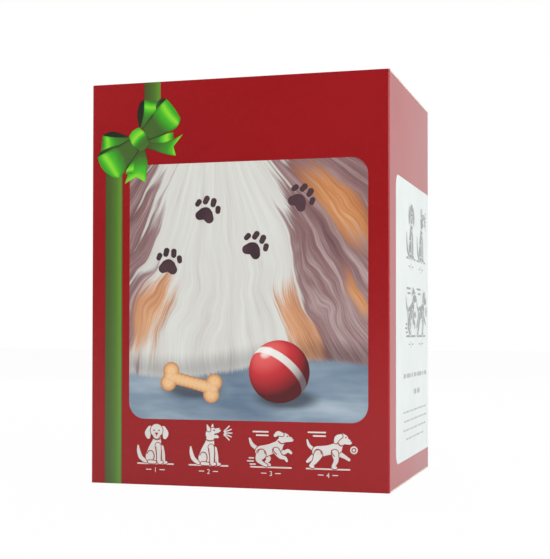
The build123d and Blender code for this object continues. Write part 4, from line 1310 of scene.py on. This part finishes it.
def drawnMetal(name, colour, roughness=0.3, along=(60, 2600, 2600)):
    finish = Finish(name, metallic=1.0)
    streaks = finish.noise(1.0, 3, 0.6, finish.stretch(along))
    spots = finish.noise(260, 4, 0.65)
    return finish.feed(colour=finish.mix(spots.step(0.35, 0.7), tinted(colour, 0.7), colour),
                       roughness=roughness + (streaks - 0.5) * 0.2,
                       normal=finish.relief(streaks * 0.004 * mm))


def cardFinish(name, light, dark, speckle):
    # uncoated board: long fibres and specks
    finish = Finish(name, roughness=0.9, specular=0.2)
    fibres = finish.noise(1.0, 4, 0.65, finish.stretch((420, 900, 240)))
    pulp = finish.noise(900, 5, 0.7)
    colour = finish.mix((fibres * 0.6 + pulp * 0.4).step(0.36, 0.64), dark, light)
    specks = finish.noise(1300, 2, 0.5).step(0.66, 0.72)
    return finish.feed(colour=finish.mix(specks * 0.5, colour, speckle), roughness=0.84 + pulp * 0.12,
                       normal=finish.relief(fibres * 0.03 * mm + pulp * 0.02 * mm))


def leafletFinish():
    # folded paper with plain grey rules on it
    finish = Finish("leafletPaper", specular=0.25)
    x, y, z = finish.axes()
    fibres = finish.noise(1600, 4, 0.6)
    words = finish.noise(1.0, 1, 0.5, finish.point(y * 260, z * 0.5 + (z * 220 - (z * 220) % 1) * 7, 0))
    onLine = ((z * 220) % 1 < 0.34) * (words > 0.44) * ((y.size() - 0.036) < 0) * ((z - 0.07).size() < 0.052)
    paper = finish.mix(fibres.step(0.3, 0.7), ink(232, 231, 226), ink(242, 242, 239))
    return finish.feed(colour=finish.mix(onLine * 0.6, paper, ink(120, 122, 126)),
                       roughness=0.7 + fibres * 0.1, normal=finish.relief(fibres * 0.008 * mm))


def cellFinish():
    low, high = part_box("battery_cells")
    finish = Finish("cellWrap", coat=0.5)
    x, y, z = finish.axes()
    nx, ny, nz = finish.axes(finish.place("Normal"))
    share = (y - low.y) / (high.y - low.y)
    turned = x.size() < 0.007
    share = share + turned * (1 - 2 * share)
    scuff = finish.noise(300, 4, 0.7).step(0.55, 0.7)
    wrap = finish.ramp(
        share, (0.0, ink(28, 62, 40)), (0.64, ink(26, 58, 38)), (0.66, ink(196, 160, 84)),
        (1.0, ink(206, 172, 98)))
    steel = ny.size() > 0.6
    colour = finish.mix(scuff * 0.12, wrap, ink(200, 204, 196))
    return finish.feed(colour=finish.mix(steel, colour, ink(196, 196, 192)), metallic=steel,
                       roughness=0.26 + scuff * 0.2)


def boardFinish():
    # solder mask over copper tracks, with tinned pads
    finish = Finish("solderMask", specular=0.6)
    x, y, z = finish.axes()
    warp = finish.noise(160, 1)
    tracks = ((x * 2400 + (warp - 0.5) * 26).wave() > 0.3).size()
    pads = finish.cells(330).step(0.2, 0.24)
    colour = finish.mix(tracks * 0.5, ink(16, 70, 40), ink(40, 112, 66))
    return finish.feed(colour=finish.mix(pads, ink(188, 186, 178), colour), roughness=0.3 + pads * 0.1,
                       normal=finish.relief(tracks * 0.02 * mm))


def leadFinish():
    # twin lead: one core's jacket red, the other's black
    finish = Finish("leadJacket")
    x, y, z = finish.axes()
    skin = finish.noise(1500, 2)
    half = ((x + 0.02).size().least((x + 0.008).size()) < 0.012) * ((x + 0.014).size() > 0.006)
    return finish.feed(colour=finish.mix(half, ink(28, 26, 28), ink(168, 26, 30)), roughness=0.4 + skin * 0.2,
                       normal=finish.relief(skin * 0.01 * mm))


def webFinish():
    # woven band: a plain weave with a stitched line along each edge
    finish = Finish("collarWeb", sheen=0.3, specular=0.2)
    x, y, z = finish.axes()
    turn = finish.maths("ARCTAN2", y - puppy["neckY"] * mm, x)
    weave = (turn * 130).wave() * (z * 9000).wave()
    up = (z - 0.1497).size()
    stitch = (up - 0.0022).size().step(0.00012, 0.0003) * -1 + 1
    stitch = stitch * ((turn * 46).wave() > -0.5)
    colour = finish.mix(weave * 0.5 + 0.5, ink(54, 60, 76), ink(98, 106, 126))
    return finish.feed(colour=finish.mix(stitch, colour, ink(206, 206, 200)), roughness=0.7 + weave * 0.1,
                       normal=finish.relief(weave * 0.06 * mm + stitch * 0.12 * mm))


def satinFinish():
    finish = Finish("bowSatin", sheen=0.4, sheenRoughness=0.3, specular=0.4)
    threads = finish.noise(1.0, 2, 0.5, finish.stretch((7000, 900, 900)))
    sweep = finish.noise(90, 2)
    colour = finish.mix(sweep.step(0.3, 0.7), ink(150, 14, 22), ink(186, 24, 32))
    return finish.feed(colour=colour, roughness=0.34 + threads * 0.16,
                       normal=finish.relief(threads * 0.02 * mm))


bm = bmesh.new()
band = [
    (15.75, 147.1), (15.95, 146.8), (17.5, 146.8), (17.8, 147.2), (17.8, 152.2), (17.5, 152.6),
    (15.95, 152.6), (15.75, 152.3), (15.75, 147.1),
]
lathe(bm, band, (0, puppy["neckY"], 0), (0, 0, 1), 72)
standIn("collarBand", bm, "carton", webFinish(), "collar_web", "collar")

bowTie = {
    "half": 21.4, "knotZ": 147.2, "y": -57.6, "puff": 2.3, "knotHalf": 2.9, "endHalf": 7.0, "thick": 0.5,
    "pleat": 0.95, "flat": (14.0 * mm, 44.0 * mm),
}


def bowLoop(side):
    # one folded loop of ribbon, pleated where the knot grips it
    bm = bmesh.new()
    bmesh.ops.create_grid(bm, x_segments=44, y_segments=24, size=0.5)
    for vert in bm.verts:
        lap, across = (vert.co.x + 0.5) * 2, vert.co.y * 2
        front = lap <= 1
        reach = math.sin((lap if front else 2 - lap) * math.pi / 2)
        out = bowTie["half"] * reach * (1 - 0.09 * abs(across) ** 3)
        half = bowTie["knotHalf"] + (bowTie["endHalf"] - bowTie["knotHalf"]) * reach ** 0.7
        bulge = bowTie["puff"] * math.sin(math.pi * min(1, reach)) ** 0.6 * (1 - 0.5 * across ** 4) + 0.35
        pleats = math.sin(across * 8 + 0.6 * math.sin(reach * 3)) * (1 - reach) ** 0.6
        pleats += 0.5 * math.sin(across * 4.6 + side * 0.8) * (1 - reach * 0.5)
        depth = (-bulge if front else bulge * 0.55) + bowTie["pleat"] * pleats
        droop = 0.7 * reach * math.sin(3 * reach) - 0.5 * reach * reach * (across > 0)
        vert.co = Vector((side * out, bowTie["y"] + depth, bowTie["knotZ"] + across * half + droop)) * mm
    return sheetOf(bm, bowTie["thick"])


bowSatin = satinFinish()
for side, word in ((-1, "Left"), (1, "Right")):
    loop = standIn("bowTie" + word, bowLoop(side), "carton", bowSatin, "bow_satin", "bow_tie")
bm = bmesh.new()
knotSide = [(3.1 + 0.25 * math.cos(k * math.pi / 4), -4.1 + k * 1.03) for k in range(9)]
knotProfile = [(0, -4.3), (2.4, -4.3)] + knotSide + [(2.4, 4.3), (0, 4.3)]
lathe(bm, knotProfile, (0, bowTie["y"] - 0.3, bowTie["knotZ"]), (0, 0, 1), 28)
for vert in bm.verts:
    vert.co.x *= 1.15
    ridge = 0.16 * math.sin(math.atan2(vert.co.x, vert.co.y - bowTie["y"] * mm) * 9)
    vert.co.y += ridge * mm
knot = standIn("bowTieKnot", bm, "carton", bowSatin, "bow_satin", "bow_tie")


def noseForm():
    # a soft triangle with two nostrils, let into the muzzle
    bm = bmesh.new()
    bmesh.ops.create_icosphere(bm, subdivisions=5, radius=1.0)
    for vert in bm.verts:
        side, out, up = vert.co
        width = 4.7 + 1.9 * up
        side, up = (math.copysign(abs(v) ** 0.8, v) for v in (side, up))
        across, high = abs(side * width) - 2.7, up * 4.2 - 0.3
        dent = math.exp(-(across * across / 1.0 + high * high / 0.6)) if out < 0 else 0
        vert.co = (puppy["nose"] + Vector((side * width, 2.6 * out + dent * 0.9, up * 4.2))) * mm
    return smoothed(bm)


noseFinish = moulded("noseGloss", ink(34, 26, 28), 0.28, 0.05)
standIn("noseTip", noseForm(), "head", noseFinish, "nose_gloss", "nose")


def neckSleeve():
    # a gathered tube that closes the neck between the coat and the head
    bm = bmesh.new()
    profile = []
    for k in range(13):
        up = k / 12
        out = 13.4 + 0.9 * math.sin(up * math.pi * 3) * math.sin(up * math.pi)
        profile.append((out, 146.0 + 15.2 * up))
    inner = [(out - 0.8, along) for out, along in reversed(profile)]
    lathe(bm, profile + inner + profile[:1], (0, puppy["neckY"], 0), (0, 0, 1), 56)
    for vert in bm.verts:
        turn = math.atan2(vert.co.y - puppy["neckY"] * mm, vert.co.x)
        fold = 0.25 * math.sin(turn * 17 + 40 * vert.co.z) * mm
        vert.co += Vector((math.cos(turn), math.sin(turn), 0)) * fold
    sleeve = asObject(bm, "neckSleeve")
    setFinish(sleeve, plushFinish("neckPile"))
    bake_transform(sleeve)


neckSleeve()
print("bow tie, collar, eyes and nose made")


# cards, leaflet, plastics and metals
finishes = {
    "plain_card": cardFinish("greyCard", ink(206, 200, 188), ink(176, 168, 154), ink(128, 116, 98)),
    "paper": leafletFinish(),
    "chassis_plastic": moulded("chassisPlastic", ink(214, 214, 208), 0.46, 0.03),
    "gear_plastic": moulded("gearAcetal", ink(236, 232, 218), 0.32, 0.008, 0.05),
    "leg_plastic": moulded("bonePlastic", ink(222, 216, 202), 0.5, 0.04),
    "steel": drawnMetal("brightSteel", ink(196, 196, 198)),
    "motor_can": drawnMetal("zincCan", ink(188, 190, 194), 0.36, (2600, 90, 2600)),
    "contact_metal": drawnMetal("springNickel", ink(214, 208, 194), 0.24),
    "cell_wrap": cellFinish(),
    "circuit_laminate": boardFinish(),
    "component_black": moulded("resinBlack", ink(30, 30, 33), 0.5, 0.04),
    "speaker_black": moulded("speakerBlack", ink(40, 40, 42), 0.7, 0.05),
    "lead_jacket": leadFinish(),
    "switch_black": moulded("switchBlack", ink(36, 36, 40), 0.38, 0.02),
}
for row in frame["record"]["subparts"]:
    if row["material_slot"] in finishes:
        setFinish(nodes[row["node"]], finishes[row["material_slot"]])
print("cards, plastics and metals finished")


# the carton's own board, and which way each piece's printed side looks
printedSides = {
    "carton_sleeve": "around", "lid_panel": "top", "lid_tuck_flap": "front", "bottom_panel": "under",
    "bottom_dust_flaps": "under", "dust_flap_left": "top", "dust_flap_right": "top",
}
for nodeName, printedSide in printedSides.items():
    setFinish(nodes[nodeName], printedBoard(nodeName + "Board", printedSide))
print("carton boards finished")


# stage, light and camera
stage = {"floorSize": 6.0, "grey": (0.9, 0.9, 0.9, 1), "seen": 0.97, "mirrored": 0.76, "mirroredBehind": 0.2}
view = {
    "place": (0.2439, -0.8464, 0.1021), "yaw": 15.81, "pitch": -0.93, "roll": 0.07, "lens": 78.8,
    "rise": 0.0587,
}
lightLevels = {"ambient": 0.36, "roomGloss": 0.06, "sweepGloss": 0.95, "sweepFrom": -0.75, "sweepTo": 0.35}


def studio():
    finish = Finish("studioFloor", roughness=1.0, specular=0.0)
    tree = finish.tree
    finish.shader.inputs["Base Color"].default_value = stage["grey"]
    glow = finish.node("Emission", values={"Color": (1, 1, 1, 1), "Strength": 1.0})
    cameraRay = finish.node("LightPath", out="Is Camera Ray")
    glossyRay = finish.node("LightPath", out="Is Glossy Ray")
    x, y, z = finish.axes()
    mirrored = glossyRay * (stage["mirrored"] + y.step(-0.15, 0.3) * stage["mirroredBehind"])
    share = cameraRay * stage["seen"] + mirrored
    mixed = finish.node("MixShader", values={0: share, 1: Wire(finish, finish.shader.outputs[0]), 2: glow})
    tree.links.new(mixed.socket, tree.nodes["Material Output"].inputs["Surface"])
    bm = bmesh.new()
    bmesh.ops.create_grid(bm, x_segments=1, y_segments=1, size=stage["floorSize"])
    floor = asObject(bm, "studioFloor")
    setFinish(floor, finish)


def studioWorld():
    world = bpy.data.worlds.new("studioWorld")
    bpy.context.scene.world = world
    world.use_nodes = True
    room = Nodes(world.node_tree)
    kinds = ("Camera", "Transmission", "Glossy")
    cameraRay, throughRay, glossyRay = [room.node("LightPath", out=f"Is {kind} Ray") for kind in kinds]
    # glossy rays see the white sweep behind the carton and the dim room in front of it
    x, y, z = room.axes(room.place("Generated"))
    sweep = room.node("MapRange", {"interpolation_type": "SMOOTHSTEP"},
                      {0: y, 1: lightLevels["sweepFrom"], 2: lightLevels["sweepTo"],
                       3: lightLevels["roomGloss"], 4: lightLevels["sweepGloss"]})
    glossy = room.node("Mix", values={0: glossyRay, 2: lightLevels["ambient"], 3: sweep})
    level = room.node("Mix", values={0: cameraRay.most(throughRay), 2: glossy, 3: 1.0})
    background = room.tree.nodes["Background"]
    room.tree.links.new(level.socket, background.inputs["Strength"])
    background.inputs["Color"].default_value = (1, 1, 1, 1)


lamps = {  # where each soft lamp stands, its power and its width
    "keyLamp": ((1.15, -1.3, 0.75), 13.4, 0.8),
    "fillLamp": ((-1.5, -1.0, 1.1), 10.4, 0.9),
    "sideLamp": ((1.7, -0.15, 0.5), 10.8, 0.8),
    "topLamp": ((0.1, 0.35, 1.5), 7.0, 1.1),
    "backLamp": ((-0.8, 1.4, 0.7), 9.0, 1.0),
}


def softLamp(name, place, power, width):
    light = bpy.data.lights.new(name, "AREA")
    light.energy = power
    light.size = width
    lamp = linked(name, light)
    lamp.location = place
    lamp.rotation_euler = (Vector((0, 0, 0.13)) - Vector(place)).to_track_quat("-Z", "Y").to_euler()


def camera():
    lens = bpy.data.cameras.new("camera")
    lens.lens = view["lens"]
    lens.sensor_width = 36
    lens.shift_y = view["rise"]
    lens.clip_start = 0.01
    lens.clip_end = 50
    eye = linked("camera", lens)
    yaw = Matrix.Rotation(math.radians(view["yaw"]), 4, "Z")
    pitch = Matrix.Rotation(math.radians(90 - view["pitch"]), 4, "X")
    roll = Matrix.Rotation(math.radians(view["roll"]), 4, "Z")
    eye.matrix_world = Matrix.Translation(view["place"]) @ (yaw @ pitch) @ roll
    bpy.context.scene.camera = eye


studio()
studioWorld()
for name, (place, power, width) in lamps.items():
    softLamp(name, place, power, width)
camera()
bpy.context.scene.view_settings.view_transform = "Standard"
print("studio and camera set")
